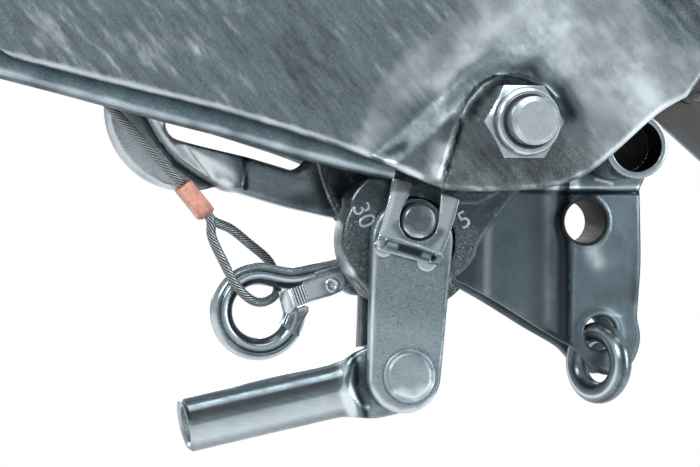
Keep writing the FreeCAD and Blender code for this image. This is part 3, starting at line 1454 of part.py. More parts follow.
def ratchet_stay():
    """The stepped stud that holds the segment off the side plate."""
    first, face, second, end = hand_depths()
    outer = d.side_half_width + d.side_joggle + d.sheet_metal
    stay = d.stay_distance * 0.70711
    r = d.stay_radius
    return turned_y("ratchet_stay", [
        (0, -(outer - d.sheet_metal - 3)), (0, -(face + d.ratchet_sheet + 2)),
        (r + 3, -(face + d.ratchet_sheet + 2)), (r + 3, -(face + d.ratchet_sheet)),
        (r, -(face + d.ratchet_sheet)), (r, -face), (r + 3, -face), (r + 3, -outer), (r, -outer),
        (r, -(outer - d.sheet_metal)), (r + 3, -(outer - d.sheet_metal)),
        (r + 3, -(outer - d.sheet_metal - 3)),
    ], pivot_x + stay, 0, pivot_z + stay)


def handbrake_lever():
    """Two cheeks that straddle the segment, closed by the lever's tube."""
    first, face, second, end = hand_depths()
    body = new_body("handbrake_lever")
    for name, depth in (("cheek_inner", first), ("cheek_outer", second)):
        outline = new_sketch(body, "XZ", f"{name}_outline", -(depth + d.cheek_sheet))
        belt(outline, [
            (0, 0, 16, 1),
            (-(d.hand_tube_start + 14), d.hand_tube_radius - 2, 2, 1),
            (-(d.hand_tube_start + 14), -d.hand_tube_radius + 2, 2, 1),
            (-d.pawl_pin_along + 12, -d.pawl_pin_drop, 10, 1),
        ])
        pad(body, outline, d.cheek_sheet, name)
    middle = face + d.ratchet_sheet / 2
    tube = new_sketch(body, "YZ", "hand_tube_circle", -d.hand_end)
    circle(tube, middle, 0, d.hand_tube_radius)
    pad(body, tube, d.hand_end - d.hand_tube_start, "hand_tube")
    bore = new_sketch(body, "YZ", "hand_bore_circle", -d.hand_end)
    circle(bore, middle, 0, d.hand_tube_radius - d.hand_tube_wall)
    pocket(body, bore, d.hand_end - d.hand_tube_start + 30, "hand_bore", towards_near=True)
    drill(body, [
        (0, 0, d.pivot_bolt_radius + d.pin_fit),
        (-d.pawl_pin_along, -d.pawl_pin_drop, d.pawl_pin_radius + 0.02),
    ], -first, d.cheek_sheet * 2 + d.ratchet_sheet + d.hand_gap * 2, "cheek_holes")
    return seat_hand_body(body)


def handbrake_grip():
    first, face, second, end = hand_depths()
    body = new_body("handbrake_grip")
    r = d.hand_tube_radius + 0.05
    wall = d.grip_wall
    end_x = d.hand_end + d.grip_cap
    start = end_x - d.grip_length
    middle = face + d.ratchet_sheet / 2
    sleeve = new_sketch(body, "YZ", "grip_circle", -end_x)
    circle(sleeve, middle, 0, r + wall)
    pad(body, sleeve, d.grip_length, "grip_sleeve")
    hollow = new_sketch(body, "YZ", "grip_hollow", -start)
    circle(hollow, middle, 0, r)
    pocket(body, hollow, d.grip_length - d.grip_cap, "grip_bore")
    mouth = new_sketch(body, "YZ", "grip_mouth", -start)
    circle(mouth, middle, 0, d.button_radius + 0.2)
    pocket(body, mouth, d.grip_length, "grip_end")
    return seat_hand_body(body)


def lifted(along, up):
    """A point of the engaged pawl, turned out of the teeth about the pawl's pin."""
    x = along + d.pawl_pin_along
    z = up + d.pawl_pin_drop
    c = cosine(d.pawl_lift)
    s = sine(d.pawl_lift)
    return x * c + z * s - d.pawl_pin_along, z * c - x * s - d.pawl_pin_drop


def release_button():
    """The button in the grip's end with its rod down to the pawl's tail."""
    first, face, second, end = hand_depths()
    body = new_body("release_button")
    middle = face + d.ratchet_sheet / 2
    tip = d.hand_end + d.button_proud
    head = new_sketch(body, "YZ", "button_circle", -tip)
    circle(head, middle, 0, d.button_radius)
    pad(body, head, d.button_length, "button_head")
    tail = lifted(-(d.pawl_pin_along + d.pawl_tail_beyond), d.pawl_tail_up)
    rod_end = d.pawl_tail_radius + d.rod_gap - tail[0]
    rod = new_sketch(body, "YZ", "button_rod_circle", -tip + d.button_length)
    circle(rod, middle, 0, d.button_rod_radius)
    pad(body, rod, tip - d.button_length - rod_end, "button_rod")
    return seat_hand_body(body)


def pawl():
    """The pawl between the cheeks, its nose just clear of the teeth, its tail at the rod."""
    first, face, second, end = hand_depths()
    body = new_body("pawl")
    back = -(face + d.ratchet_sheet) + 0.3
    thick = d.ratchet_sheet - 0.6
    outline = new_sketch(body, "XZ", "pawl_outline", back)
    angle = d.pawl_nose_angle
    reach = d.ratchet_radius - d.pawl_nose_depth
    beyond = -(d.pawl_pin_along + d.pawl_tail_beyond)
    belt(outline, [
        (-d.pawl_pin_along, -d.pawl_pin_drop, d.pawl_back, 1),
        (*lifted(-reach * cosine(angle), -reach * sine(angle)), d.nose_radius, 1),
        (*lifted(beyond, d.pawl_tail_up), d.pawl_tail_radius, 1),
    ])
    pad(body, outline, thick, "pawl_plate")
    hub = new_sketch(body, "XZ", "pawl_hub_circle", back)
    circle(hub, -d.pawl_pin_along, -d.pawl_pin_drop, d.pawl_hub_radius)
    pad(body, hub, thick, "pawl_hub")
    drill(body, [(-d.pawl_pin_along, -d.pawl_pin_drop, d.pawl_pin_radius + d.pin_fit)],
          -face, d.ratchet_sheet, "pawl_hole")
    return seat_hand_body(body)


def pawl_pin():
    first, face, second, end = hand_depths()
    body = new_body("pawl_pin")
    r = d.pawl_pin_radius
    stem = new_sketch(body, "XZ", "pawl_pin_circle", -(second + d.cheek_sheet + 0.6))
    circle(stem, -d.pawl_pin_along, -d.pawl_pin_drop, r)
    pad(body, stem, second - first + d.cheek_sheet + 1.2, "pawl_pin_stem")
    return seat_hand_body(body)


def build():
    """Makes every sub-part and returns the ones that are written out."""
    pieces = [
        side_plate("side_plate_left", True),
        side_plate("side_plate_right", False),
        channel_with_lips(),
        bearing_carrier("bearing_front", d.carrier_front_x, d.nose_length),
        bearing_carrier("bearing_rear", d.carrier_rear_x, d.nose_length / 5),
        bush("bush_front", d.carrier_front_x, d.nose_length),
        bush("bush_rear", d.carrier_rear_x, d.nose_length / 5),
        grease_nipples(),
        slotted_arm(),
        quadrant(),
        hook_pin(),
        swing_arm(),
        link_plate("link_plate_front", link_faces()[0]),
        link_plate("link_plate_back", link_faces()[1]),
        clevis_pin(),
        pin_clip(),
        handle_rivet(),
        handle_tube(),
        snap_hook(),
        hook_gate(),
        gate_rivet(),
        breakaway_cable(),
        ferrule(),
        cable_anchor(),
        reversing_lever(),
        ring_link(),
        draw_tube(),
        coupling_head(),
        coupling_handle(),
        ball_latch(),
        cross_bolts("head_bolts", True),
        cross_bolts("head_nuts", False),
        gaiter(),
        lever_pipe(),
        ratchet_segment(),
        ratchet_stay(),
        handbrake_lever(),
        handbrake_grip(),
        release_button(),
        pawl(),
        pawl_pin(),
    ]
    pieces += head_pins()
    pieces += rod_bracket()
    pieces += pivot_group()
    pieces += damper()
    return pieces


def check_and_write(pieces):
    doc.recompute()
    for item in doc.Objects:
        if "Invalid" in item.State or "Error" in item.State:
            raise RuntimeError(f"{item.Label} failed: {item.State}")
    os.makedirs("parts", exist_ok=True)
    for piece in pieces:
        shape = piece.Shape
        if shape.isNull() or not shape.isValid() or not shape.Solids:
            raise RuntimeError(f"{piece.Label} has no valid solid")
        shape.exportStep(f"parts/{piece.Label}.step")


check_and_write(build())
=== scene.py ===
import json
import math

import bpy
import numpy as np
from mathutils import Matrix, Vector
from mathutils.geometry import delaunay_2d_cdt


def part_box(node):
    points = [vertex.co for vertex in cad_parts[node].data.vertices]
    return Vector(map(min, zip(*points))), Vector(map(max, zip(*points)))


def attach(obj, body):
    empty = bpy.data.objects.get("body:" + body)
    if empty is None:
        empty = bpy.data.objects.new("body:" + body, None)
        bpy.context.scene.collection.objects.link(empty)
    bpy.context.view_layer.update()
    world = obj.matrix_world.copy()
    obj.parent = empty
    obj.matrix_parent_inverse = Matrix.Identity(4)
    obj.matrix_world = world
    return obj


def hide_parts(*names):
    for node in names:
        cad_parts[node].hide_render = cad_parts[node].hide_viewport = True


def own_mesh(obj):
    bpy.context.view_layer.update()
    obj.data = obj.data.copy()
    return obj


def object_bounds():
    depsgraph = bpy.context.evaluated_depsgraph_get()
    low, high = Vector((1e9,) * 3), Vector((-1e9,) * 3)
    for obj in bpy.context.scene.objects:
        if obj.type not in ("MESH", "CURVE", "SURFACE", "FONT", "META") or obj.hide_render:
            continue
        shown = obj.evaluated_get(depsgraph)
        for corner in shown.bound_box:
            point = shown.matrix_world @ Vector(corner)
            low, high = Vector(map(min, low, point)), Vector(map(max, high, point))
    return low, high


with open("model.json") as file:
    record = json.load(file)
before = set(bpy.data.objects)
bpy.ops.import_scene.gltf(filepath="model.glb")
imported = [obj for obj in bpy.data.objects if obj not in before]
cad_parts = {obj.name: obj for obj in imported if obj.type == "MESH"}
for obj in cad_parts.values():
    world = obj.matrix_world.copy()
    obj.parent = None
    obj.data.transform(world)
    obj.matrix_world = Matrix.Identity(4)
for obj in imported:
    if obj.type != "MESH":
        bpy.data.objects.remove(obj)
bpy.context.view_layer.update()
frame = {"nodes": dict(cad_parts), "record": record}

# Trailer overrun coupling. Lengths are in millimetres until a mesh is made.
# +X is the rear of the trailer, +Z is up and -Y is the near (left) side.
# Names that end in _PX are pixels of the photograph, and _PLANE is a near face's Y.

MM = 0.001
UP, FAR = np.array([0, 0, 1.0]), np.array([0, 1.0, 0])
NEAR_SIDE = (0, -1, 0)
FULL_TURN = 2 * math.pi
PIVOT = np.array([430.0, -52.0])
WALL_PLANE, LOBE_PLANE, NUT_SEAT = -48.0, -52.0, -49.0
TUBE_HEIGHT = 10.0


# Camera: the photograph's framing

VIEW_DIRECTION = np.array([0.2588, 0.9659, 0.0])
VIEW_RIGHT = np.array([0.9659, -0.2588, 0.0])
VIEW_TARGET = np.array([376.7, -34.7, -89.0])
VIEW_DISTANCE = 1200.0
PIXELS_PER_SLOPE = 3600.0
IMAGE_WIDTH, IMAGE_HEIGHT = 700, 467
CAMERA_AT = VIEW_TARGET - VIEW_DIRECTION * VIEW_DISTANCE


def seen(pixels, y):
    """The X and Z of points seen at these pixels of the photograph, on the plane of this Y."""
    px = np.asarray(pixels, float)
    side = (px[:, 0] - IMAGE_WIDTH / 2) / PIXELS_PER_SLOPE
    rise = -(px[:, 1] - IMAGE_HEIGHT / 2) / PIXELS_PER_SLOPE
    ray = VIEW_DIRECTION + side[:, None] * VIEW_RIGHT + rise[:, None] * UP
    hit = CAMERA_AT + ray * ((y - CAMERA_AT[1]) / ray[:, 1])[:, None]
    return hit[:, [0, 2]]


def deep(at, y):
    """The point at this X and Z, and at this Y."""
    return at[0], y, at[1]


def shown(points):
    """The pixels of the photograph at which points are seen."""
    away = np.asarray(points, float).reshape(-1, 3) - CAMERA_AT
    depth = away @ VIEW_DIRECTION
    return (IMAGE_WIDTH / 2 + PIXELS_PER_SLOPE * (away @ VIEW_RIGHT) / depth,
            IMAGE_HEIGHT / 2 - PIXELS_PER_SLOPE * away[:, 2] / depth)


# Numbers that vary over a surface

def ramp(value, start, end):
    """0 before start, 1 after end, and a smooth S between them."""
    t = np.clip((value - start) / (end - start), 0, 1)
    return t * t * (3 - 2 * t)


def bell(away, width):
    """1 where away is 0, fading to nothing over a width on both sides."""
    return np.exp(-(away / width) ** 2)


def grain(points, size, seed):
    """Value noise from -1 to 1: random numbers at a lattice's corners, smoothly interpolated.

    A corner's number comes from its coordinates, multiplied by large primes and mixed. The
    points are an array, or a tuple of their coordinates.
    """
    p = (np.stack(points, -1) if isinstance(points, tuple) else points) / size
    cell = np.floor(p).astype(np.int64)
    t = p - cell
    t = t * t * (3 - 2 * t)
    total = 0.0
    for corner in range(1 << p.shape[-1]):
        bits = [(corner >> axis) & 1 for axis in range(p.shape[-1])]
        key = np.full(p.shape[:-1], seed * 7919 + 17, np.int64)
        weight = 1.0
        for axis, bit in enumerate(bits):
            key = (key * 374761393 + (cell[..., axis] + bit) * 668265263) & 0x7FFFFFFF
            key = key ^ (key >> 13)
            weight = weight * (t[..., axis] if bit else 1 - t[..., axis])
        key = (key * 1274126177) & 0x7FFFFFFF
        total = total + weight * ((key ^ (key >> 15)) % 65536 / 32768.0 - 1)
    return total


def rough(points, size, seed):
    """Grain at three sizes, each half as large and half as strong as the one before."""
    return sum(grain(points, size / 2 ** k, seed + k) / 2 ** k for k in range(3))


def distance(u, v, line):
    """The shortest distance from points (u, v) to a line of straight runs."""
    p = np.stack([u, v], -1)
    best = np.full(len(p), 1e9)
    for a, b in zip(line, line[1:]):
        run = b - a
        t = np.clip((p - a) @ run / max(run @ run, 1e-9), 0, 1)
        best = np.minimum(best, np.hypot(*(p - a - t[:, None] * run).T))
    return best


def airbrush(points, base, *strokes):
    """Painted light and shade, smoothness and brownness at each point, as marks for its finish.

    base holds those three amounts. A stroke is a line drawn over the photograph, the width in
    pixels over which it fades, and as many of the amounts as it changes; a line that ends
    where it starts is filled.
    """
    u, v = shown(points)
    marks = np.zeros((len(u), 3)) + base
    for line, wide, *amounts in strokes:
        line = np.array(line, float)
        away = distance(u, v, line)
        cover = bell(away, wide)
        if np.allclose(line[0], line[-1]):
            cover = np.where(inside(np.stack([u, v], -1), line[:-1]), 1, cover)
        marks[:, :len(amounts)] += cover[:, None] * amounts
    return {"tone": marks[:, 0], "shine": marks[:, 1], "warm": marks[:, 2]}


def brush(base, *strokes):
    """The airbrush with these strokes, as the paint of a piece."""
    return lambda points: airbrush(points, base, *strokes)


def beside(pixels, plane):
    """Four rows of points, 0.5 mm apart, along both sides of a line over the photograph."""
    line = seen(pixels, plane)
    rows = []
    for a, b in zip(line, line[1:]):
        length = math.hypot(*(b - a))
        normal = np.array([a[1] - b[1], b[0] - a[0]]) / length
        t = np.linspace(0, 1, int(length / 0.5) + 2)[:, None]
        rows += [a + (b - a) * t + normal * offset for offset in (-0.6, -0.2, 0.2, 0.6)]
    return np.concatenate(rows)


# Meshes

def make(name, points, faces, body, slot, replaces=(), uv=None, sharp=40, finish=None,
         marks=None):
    """A mesh object of these points, riding on its body.

    It takes its own finish or its slot's, and marks are what the finish varies by.
    """
    mesh = bpy.data.meshes.new(name)
    mesh.from_pydata(np.asarray(points, float).reshape(-1, 3) * MM, [], faces)
    if uv is not None:
        layer = mesh.uv_layers.new(name="UVMap")
        corner = np.empty(len(mesh.loops), np.int32)
        mesh.loops.foreach_get("vertex_index", corner)
        layer.data.foreach_set("uv", np.asarray(uv, float).reshape(-1, 2)[corner].ravel())
    for key, value in (marks or {}).items():
        layer = mesh.attributes.new(key, "FLOAT", "POINT")
        spread = np.broadcast_to(np.asarray(value, float).ravel(), len(mesh.vertices))
        layer.data.foreach_set("value", spread.astype(np.float32))
    mesh.polygons.foreach_set("use_smooth", [True] * len(mesh.polygons))
    mesh.set_sharp_from_angle(angle=math.radians(sharp))
    mesh.materials.append(finish or FINISHES[slot])
    piece = bpy.data.objects.new(name, mesh)
    bpy.context.scene.collection.objects.link(piece)
    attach(piece, body)
    if replaces:
        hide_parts(*replaces)
    return piece


def quads(rows, cols, loop):
    """Corners of the four-sided faces of a grid whose rows are rings, looped from its last
    row to its first where it is a closed tube."""
    r = np.arange(rows if loop else rows - 1)[:, None]
    c = np.arange(cols)[None, :]
    here, there = r * cols, (r + 1) % rows * cols
    right = (c + 1) % cols
    return np.stack([here + c, here + right, there + right, there + c], -1).reshape(-1, 4)


def skin(name, grid, body, slot, replaces=(), loop=False, flip=False, **more):
    """A surface through rings of points, one a row, with its ends closed or looped."""
    rows, cols = grid.shape[:2]
    faces = quads(rows, cols, loop)
    if flip:
        faces = faces[:, ::-1]
    faces = faces.tolist()
    if not loop:
        first = list(range(cols))[::-1]
        last = list(range((rows - 1) * cols, rows * cols))
        faces += [first[::-1], last[::-1]] if flip else [first, last]
    along, across = np.meshgrid(np.linspace(0, 1, rows), np.linspace(0, 1, cols), indexing="ij")
    return make(name, grid, faces, body, slot, replaces, uv=np.stack([along, across], -1), **more)


def axes(direction):
    """Two unit vectors square to a direction and to each other."""
    w = np.asarray(direction, float) / np.linalg.norm(direction)
    helper = UP if abs(w[2]) < 0.9 else np.array([1.0, 0, 0])
    u = np.cross(helper, w)
    u /= np.linalg.norm(u)
    return u, np.cross(w, u), w


def eased(profile, radius):
    """A profile with each corner rounded by a short curve that starts a radius before it."""
    out = [profile[0]]
    for before, corner, after in zip(profile, profile[1:], profile[2:]):
        before, corner, after = (np.asarray(p, float) for p in (before, corner, after))
        back, on = before - corner, after - corner
        reach = min(radius, np.linalg.norm(back) * 0.45, np.linalg.norm(on) * 0.45)
        start = corner + back / max(np.linalg.norm(back), 1e-9) * reach
        end = corner + on / max(np.linalg.norm(on), 1e-9) * reach
        for t in (0, 0.25, 0.5, 0.75, 1):
            out.append(start * (1 - t) ** 2 + corner * 2 * t * (1 - t) + end * t * t)
    out.append(profile[-1])
    return np.array([np.asarray(p, float) for p in out])


def turned(name, profile, centre, body, slot, replaces=(), axis=NEAR_SIDE, around=72,
           ease=0.3, paint=None, **more):
    """A profile of (radius, distance along the axis) points, turned about the axis."""
    p = eased(profile, ease) if ease else np.array(profile, float)
    u, v, w = axes(axis)
    angle = once_round(around)
    ring = np.cos(angle)[:, None] * u + np.sin(angle)[:, None] * v
    grid = np.asarray(centre, float) + p[:, :1, None] * ring[None] + p[:, 1:, None] * w
    if paint:
        more["marks"] = paint(grid.reshape(-1, 3))
    return skin(name, grid, body, slot, replaces, **more)


def along_path(name, path, section, body, slot, replaces=(), up=(0, 1, 0), **more):
    """A section carried along a path: section(s) gives each station's offsets, sideways and up.

    s runs from 0 to 1 by length; sideways is square to the path and to the up direction.
    """
    tangent = np.gradient(path, axis=0)
    tangent /= np.linalg.norm(tangent, axis=1)[:, None]
    sideways = np.cross(tangent, up)
    sideways /= np.linalg.norm(sideways, axis=1)[:, None]
    lift = np.cross(sideways, tangent)
    step = np.r_[0, np.cumsum(np.linalg.norm(np.diff(path, axis=0), axis=1))]
    offset = section(step / step[-1])
    grid = path[:, None] + offset[..., :1] * sideways[:, None] + offset[..., 1:] * lift[:, None]
    return skin(name, grid, body, slot, replaces, **more)


def spline(points, count, closed=False):
    """A smooth curve through points (Catmull-Rom), at stations equally far apart."""
    p = np.asarray(points, float)
    ends = (p[-1:], p[:2]) if closed else (2 * p[:1] - p[1:2], 2 * p[-1:] - p[-2:-1])
    q = np.concatenate([ends[0], p, ends[1]])
    t = np.linspace(0, 1, 24, endpoint=False)[None, :, None]
    a, b, c, e = q[:-3, None], q[1:-2, None], q[2:-1, None], q[3:, None]
    run = 0.5 * (2 * b + (c - a) * t + (2 * a - 5 * b + 4 * c - e) * t ** 2
                 + (3 * b - a - 3 * c + e) * t ** 3)
    fine = run.reshape(-1, p.shape[1])
    fine = np.concatenate([fine, p[:1] if closed else p[-1:]])
    length = np.r_[0, np.cumsum(np.linalg.norm(np.diff(fine, axis=0), axis=1))]
    at = np.linspace(0, length[-1], count, endpoint=not closed)
    return np.stack([np.interp(at, length, fine[:, k]) for k in range(p.shape[1])], 1)


def once_round(count):
    """Angles of one whole turn, in radians."""
    return np.linspace(0, FULL_TURN, count, endpoint=False)


def arc(x, z, radius, start, end, count):
    """Points of a circle's arc, from start to end in degrees from +X towards +Z."""
    a = np.radians(np.linspace(start, end, count))
    return np.stack([x + radius * np.cos(a), z + radius * np.sin(a)], 1)


def circle(x, z, radius, count):
    """Points of a whole circle."""
    return arc(x, z, radius, 0, 360, count + 1)[:-1]


def hull_of(circles, step=6):
    """The tight band round circles given as (x, z, radius), in their order."""
    points = np.concatenate([circle(x, z, radius, 360 // step) for x, z, radius in circles])
    points = points[np.lexsort((points[:, 1], points[:, 0]))]

    def chain(run):
        """One side of the band: points that would make it hollow are dropped."""
        out = []
        for p in run:
            while len(out) > 1 and np.cross(out[-1] - out[-2], p - out[-2]) <= 0:
                out.pop()
            out.append(p)
        return out[:-1]
    return np.array(chain(points) + chain(points[::-1]))


def evened(loop, spacing):
    """The same closed outline with its points about a spacing apart."""
    p = np.concatenate([loop, loop[:1]])
    length = np.r_[0, np.cumsum(np.linalg.norm(np.diff(p, axis=0), axis=1))]
    count = max(int(length[-1] / spacing), 16)
    at = np.linspace(0, length[-1], count, endpoint=False)
    return np.stack([np.interp(at, length, p[:, k]) for k in range(2)], 1)


def inside(points, loop):
    """Whether points lie in a closed outline, by counting the edges that a ray crosses.

    They are taken some 4000 at a time, which keeps the table of crossings small.
    """
    a, b = loop, np.roll(loop, -1, 0)
    hit = np.zeros(len(points), bool)
    for part in np.array_split(np.arange(len(points)), max(1, len(points) // 4000)):
        x, z = points[part, 0][:, None], points[part, 1][:, None]
        spans = (a[:, 1] > z) != (b[:, 1] > z)
        rise = np.where(b[:, 1] == a[:, 1], 1e-12, b[:, 1] - a[:, 1])
        cross = a[:, 0] + (z - a[:, 1]) * (b[:, 0] - a[:, 0]) / rise
        hit[part] = (spans & (x < cross)).sum(1) % 2 == 1
    return hit


def within(points, outline, holes):
    """Whether points lie in an outline and outside its holes."""
    keep = inside(points, outline)
    for hole in holes:
        keep &= ~inside(points, hole)
    return keep


def anticlockwise(loop):
    """Whether a closed outline runs from +X towards +Z."""
    after = np.roll(loop, -1, 0)
    return np.sum(loop[:, 0] * after[:, 1] - loop[:, 1] * after[:, 0]) > 0


def inset(loop, amount, hole=False):
    """An outline moved into the metal by an amount, square to itself."""
    run = np.roll(loop, -1, 0) - np.roll(loop, 1, 0)
    run /= np.maximum(np.linalg.norm(run, axis=1), 1e-9)[:, None]
    inward = np.stack([-run[:, 1], run[:, 0]], 1) * (1 if anticlockwise(loop) else -1)
    return loop + inward * amount * (-1 if hole else 1)


def plate(name, outline, holes, front, thick, body, slot, replaces=(), spacing=1.5, bevel=0.6,
          shift=None, front_relief=None, back_relief=None, paint=None, extra=None, **more):
    """A sheet between two faces square to Y, with rounded edges round its outline and holes.

    shift(x, z) moves both faces along Y, which bends the sheet; each relief moves its own
    face outwards. The faces are triangles over an even grid of points inside the outline,
    and each edge is a row of rings on a quarter circle of the bevel's radius. paint(points)
    gives the marks; extra points make the net finer where it matters.
    """
    loops = [evened(np.asarray(outline, float), spacing)]
    loops += [evened(np.asarray(hole, float), spacing * 0.7) for hole in holes]
    turn = np.radians(np.linspace(0, 90, 4))
    steps = [(bevel * (1 - math.sin(t)), bevel * (1 - math.cos(t))) for t in turn]
    inner = [inset(loop, bevel, k > 0) for k, loop in enumerate(loops)]
    edge_points = np.concatenate(inner)
    starts = np.cumsum([0] + [len(loop) for loop in inner])
    low, high = edge_points.min(0), edge_points.max(0)
    row = spacing * 0.866
    x, z = np.meshgrid(np.arange(low[0], high[0], spacing), np.arange(low[1], high[1], row))
    x = x + (np.arange(x.shape[0]) % 2)[:, None] * spacing / 2
    field = np.stack([x.ravel(), z.ravel()], 1)
    if extra is not None:
        field = np.concatenate([field, extra])
    room_left = [inset(loop, spacing * 0.6, k > 0) for k, loop in enumerate(inner)]
    field = field[within(field, room_left[0], room_left[1:])]
    flat = np.concatenate([edge_points, field])
    edges = []
    for k in range(len(inner)):
        ring = np.arange(starts[k], starts[k + 1])
        edges += np.stack([ring, np.roll(ring, -1)], 1).tolist()
    verts, _, tris, *_ = delaunay_2d_cdt([Vector(p) for p in flat], edges, [], 0, 1e-7)
    flat = np.array([tuple(v) for v in verts])
    tris = np.array(tris)
    tris = tris[within(flat[tris].mean(1), inner[0], inner[1:])]
    a, b, c = (flat[tris[:, k]] for k in range(3))
    turned_over = np.cross(b - a, c - a) < 0
    tris[turned_over] = tris[turned_over][:, ::-1]
    count = len(flat)

    def lifted(p, depth, relief, side):
        """Points of a face or an edge at their depth, bent and raised with the sheet."""
        y = depth + (shift(p[:, 0], p[:, 1]) if shift else 0)
        if relief:
            y = y + side * relief(p[:, 0], p[:, 1])
        return np.stack([p[:, 0], np.broadcast_to(y, len(p)), p[:, 1]], 1)

    points = [lifted(flat, front, front_relief, -1), lifted(flat, front + thick, back_relief, 1)]
    faces = tris.tolist() + (tris[:, ::-1] + count).tolist()
    used = 2 * count
    for k, loop in enumerate(loops):
        ring = len(loop)
        rows = [np.arange(starts[k], starts[k + 1])]
        for back in (False, True):
            for into, down in steps[::-1] if back else steps:
                if into >= bevel - 1e-9:
                    continue
                p = inset(loop, into, k > 0)
                if back:
                    points.append(lifted(p, front + thick - down, back_relief, 1))
                else:
                    points.append(lifted(p, front + down, front_relief, -1))
                rows.append(np.arange(used, used + ring))
                used += ring
        rows.append(np.arange(starts[k], starts[k + 1]) + count)
        outward = anticlockwise(loop) == (k == 0)
        for upper, lower in zip(rows, rows[1:]):
            strip = np.stack([upper, np.roll(upper, -1), np.roll(lower, -1), lower], 1)
            faces += (strip[:, ::-1] if outward else strip).tolist()
    points = np.concatenate(points)
    if paint:
        more["marks"] = paint(points)
    return make(name, points, faces, body, slot, replaces, **more)


# Finishes

def rgb(text):
    """A linear colour with its alpha from an sRGB hex text."""
    parts = [int(text[k:k + 2], 16) / 255 for k in (0, 2, 4)]
    return *(v / 12.92 if v <= 0.04045 else ((v + 0.055) / 1.055) ** 2.4 for v in parts), 1


class Wire:
    """A node's output; arithmetic on it adds Math nodes."""

    def __init__(self, paint, socket):
        self.paint, self.socket = paint, socket

    def maths(self, operation, *values):
        return self.paint.node("ShaderNodeMath", *values, operation=operation)

    def __add__(self, other):
        return self.maths("ADD", self, other)

    def __rsub__(self, other):
        return self.maths("SUBTRACT", other, self)

    def __mul__(self, other):
        return self.maths("MULTIPLY", self, other)


class Paint:
    """A material under construction: one method adds any node and fills its sockets."""

    def __init__(self, name, owner=None):
        self.material = owner or bpy.data.materials.new(name)
        self.material.use_nodes = True
        self.tree = self.material.node_tree
        self.tree.nodes.clear()

    def node(self, kind, *values, out=0, stops=(), **named):
        """A node's output; a lower-case name is a setting, any other a socket to fill."""
        made = self.tree.nodes.new(kind)
        for key in [key for key in named if key.islower()]:
            setattr(made, key, named.pop(key))
        for at, _ in stops[2:]:
            made.color_ramp.elements.new(at)
        for element, (at, shade) in zip(made.color_ramp.elements if stops else (), stops):
            element.position, element.color = at, (*shade, 1)
        for socket, value in zip(made.inputs, values):
            self.fill(socket, value)
        for key, value in named.items():
            self.fill(made.inputs[key.replace("_", " ")], value)
        return Wire(self, made.outputs[out])

    def fill(self, socket, value):
        """A socket takes a wire, a colour's sRGB hex text or a plain value."""
        if isinstance(value, Wire):
            self.tree.links.new(value.socket, socket)
        else:
            socket.default_value = rgb(value) if isinstance(value, str) else value

    def place(self, stretch, turn):
        """Coordinates in metres, stretched and turned in degrees, for a pattern."""
        return self.node("ShaderNodeMapping", self.node("ShaderNodeTexCoord", out="Object"),
                         vector_type="TEXTURE", Rotation=[math.radians(a) for a in turn],
                         Scale=stretch)

    def noise(self, size, detail=4.0, roughness=0.55, stretch=(1, 1, 1), turn=(0, 0, 0),
              warp=0.0):
        """Noise from 0 to 1 with features about this many millimetres across."""
        return self.node("ShaderNodeTexNoise", Vector=self.place(stretch, turn),
                         Scale=1 / (size * MM), Detail=detail, Roughness=roughness,
                         Distortion=warp)

    def band(self, value, low, high, to_low=0.0, to_high=1.0):
        """A value carried smoothly from one range to another and held at its ends."""
        return self.node("ShaderNodeMapRange", value, interpolation_type="SMOOTHSTEP",
                         From_Min=low, From_Max=high, To_Min=to_low, To_Max=to_high)

    def blend(self, factor, first, second):
        """One colour turning into another."""
        made = self.tree.nodes.new("ShaderNodeMix")
        made.data_type = "RGBA"
        for socket, value in zip((0, 6, 7), (factor, first, second)):
            self.fill(made.inputs[socket], value)
        return Wire(self, made.outputs[2])

    def bump(self, height, depth):
        """A normal tilted by a height from 0 to 1 that stands for this many millimetres."""
        return self.node("ShaderNodeBump", Strength=1.0, Distance=depth * MM, Height=height)

    def mark(self, name):
        """A number that the piece's own points carry, and 0 where they don't."""
        return self.node("ShaderNodeAttribute", attribute_name=name, out="Fac")

    def direct(self, mirrored):
        """1 for rays from the camera, and a share for those from a glossy surface."""
        ray = self.tree.nodes.new("ShaderNodeLightPath")
        camera_ray, glossy_ray = (Wire(self, ray.outputs[name])
                                  for name in ("Is Camera Ray", "Is Glossy Ray"))
        return camera_ray.maths("MAXIMUM", camera_ray, glossy_ray * mirrored)

    def output(self, shader, kind="ShaderNodeOutputMaterial"):
        """Leads a shader to the output, and gives back what has been painted."""
        self.tree.links.new(shader.socket, self.tree.nodes.new(kind).inputs[0])
        return self.material

    def done(self, **sockets):
        """The material, with these sockets of its metal, rubber or plastic filled."""
        return self.output(self.node("ShaderNodeBsdfPrincipled", **sockets))


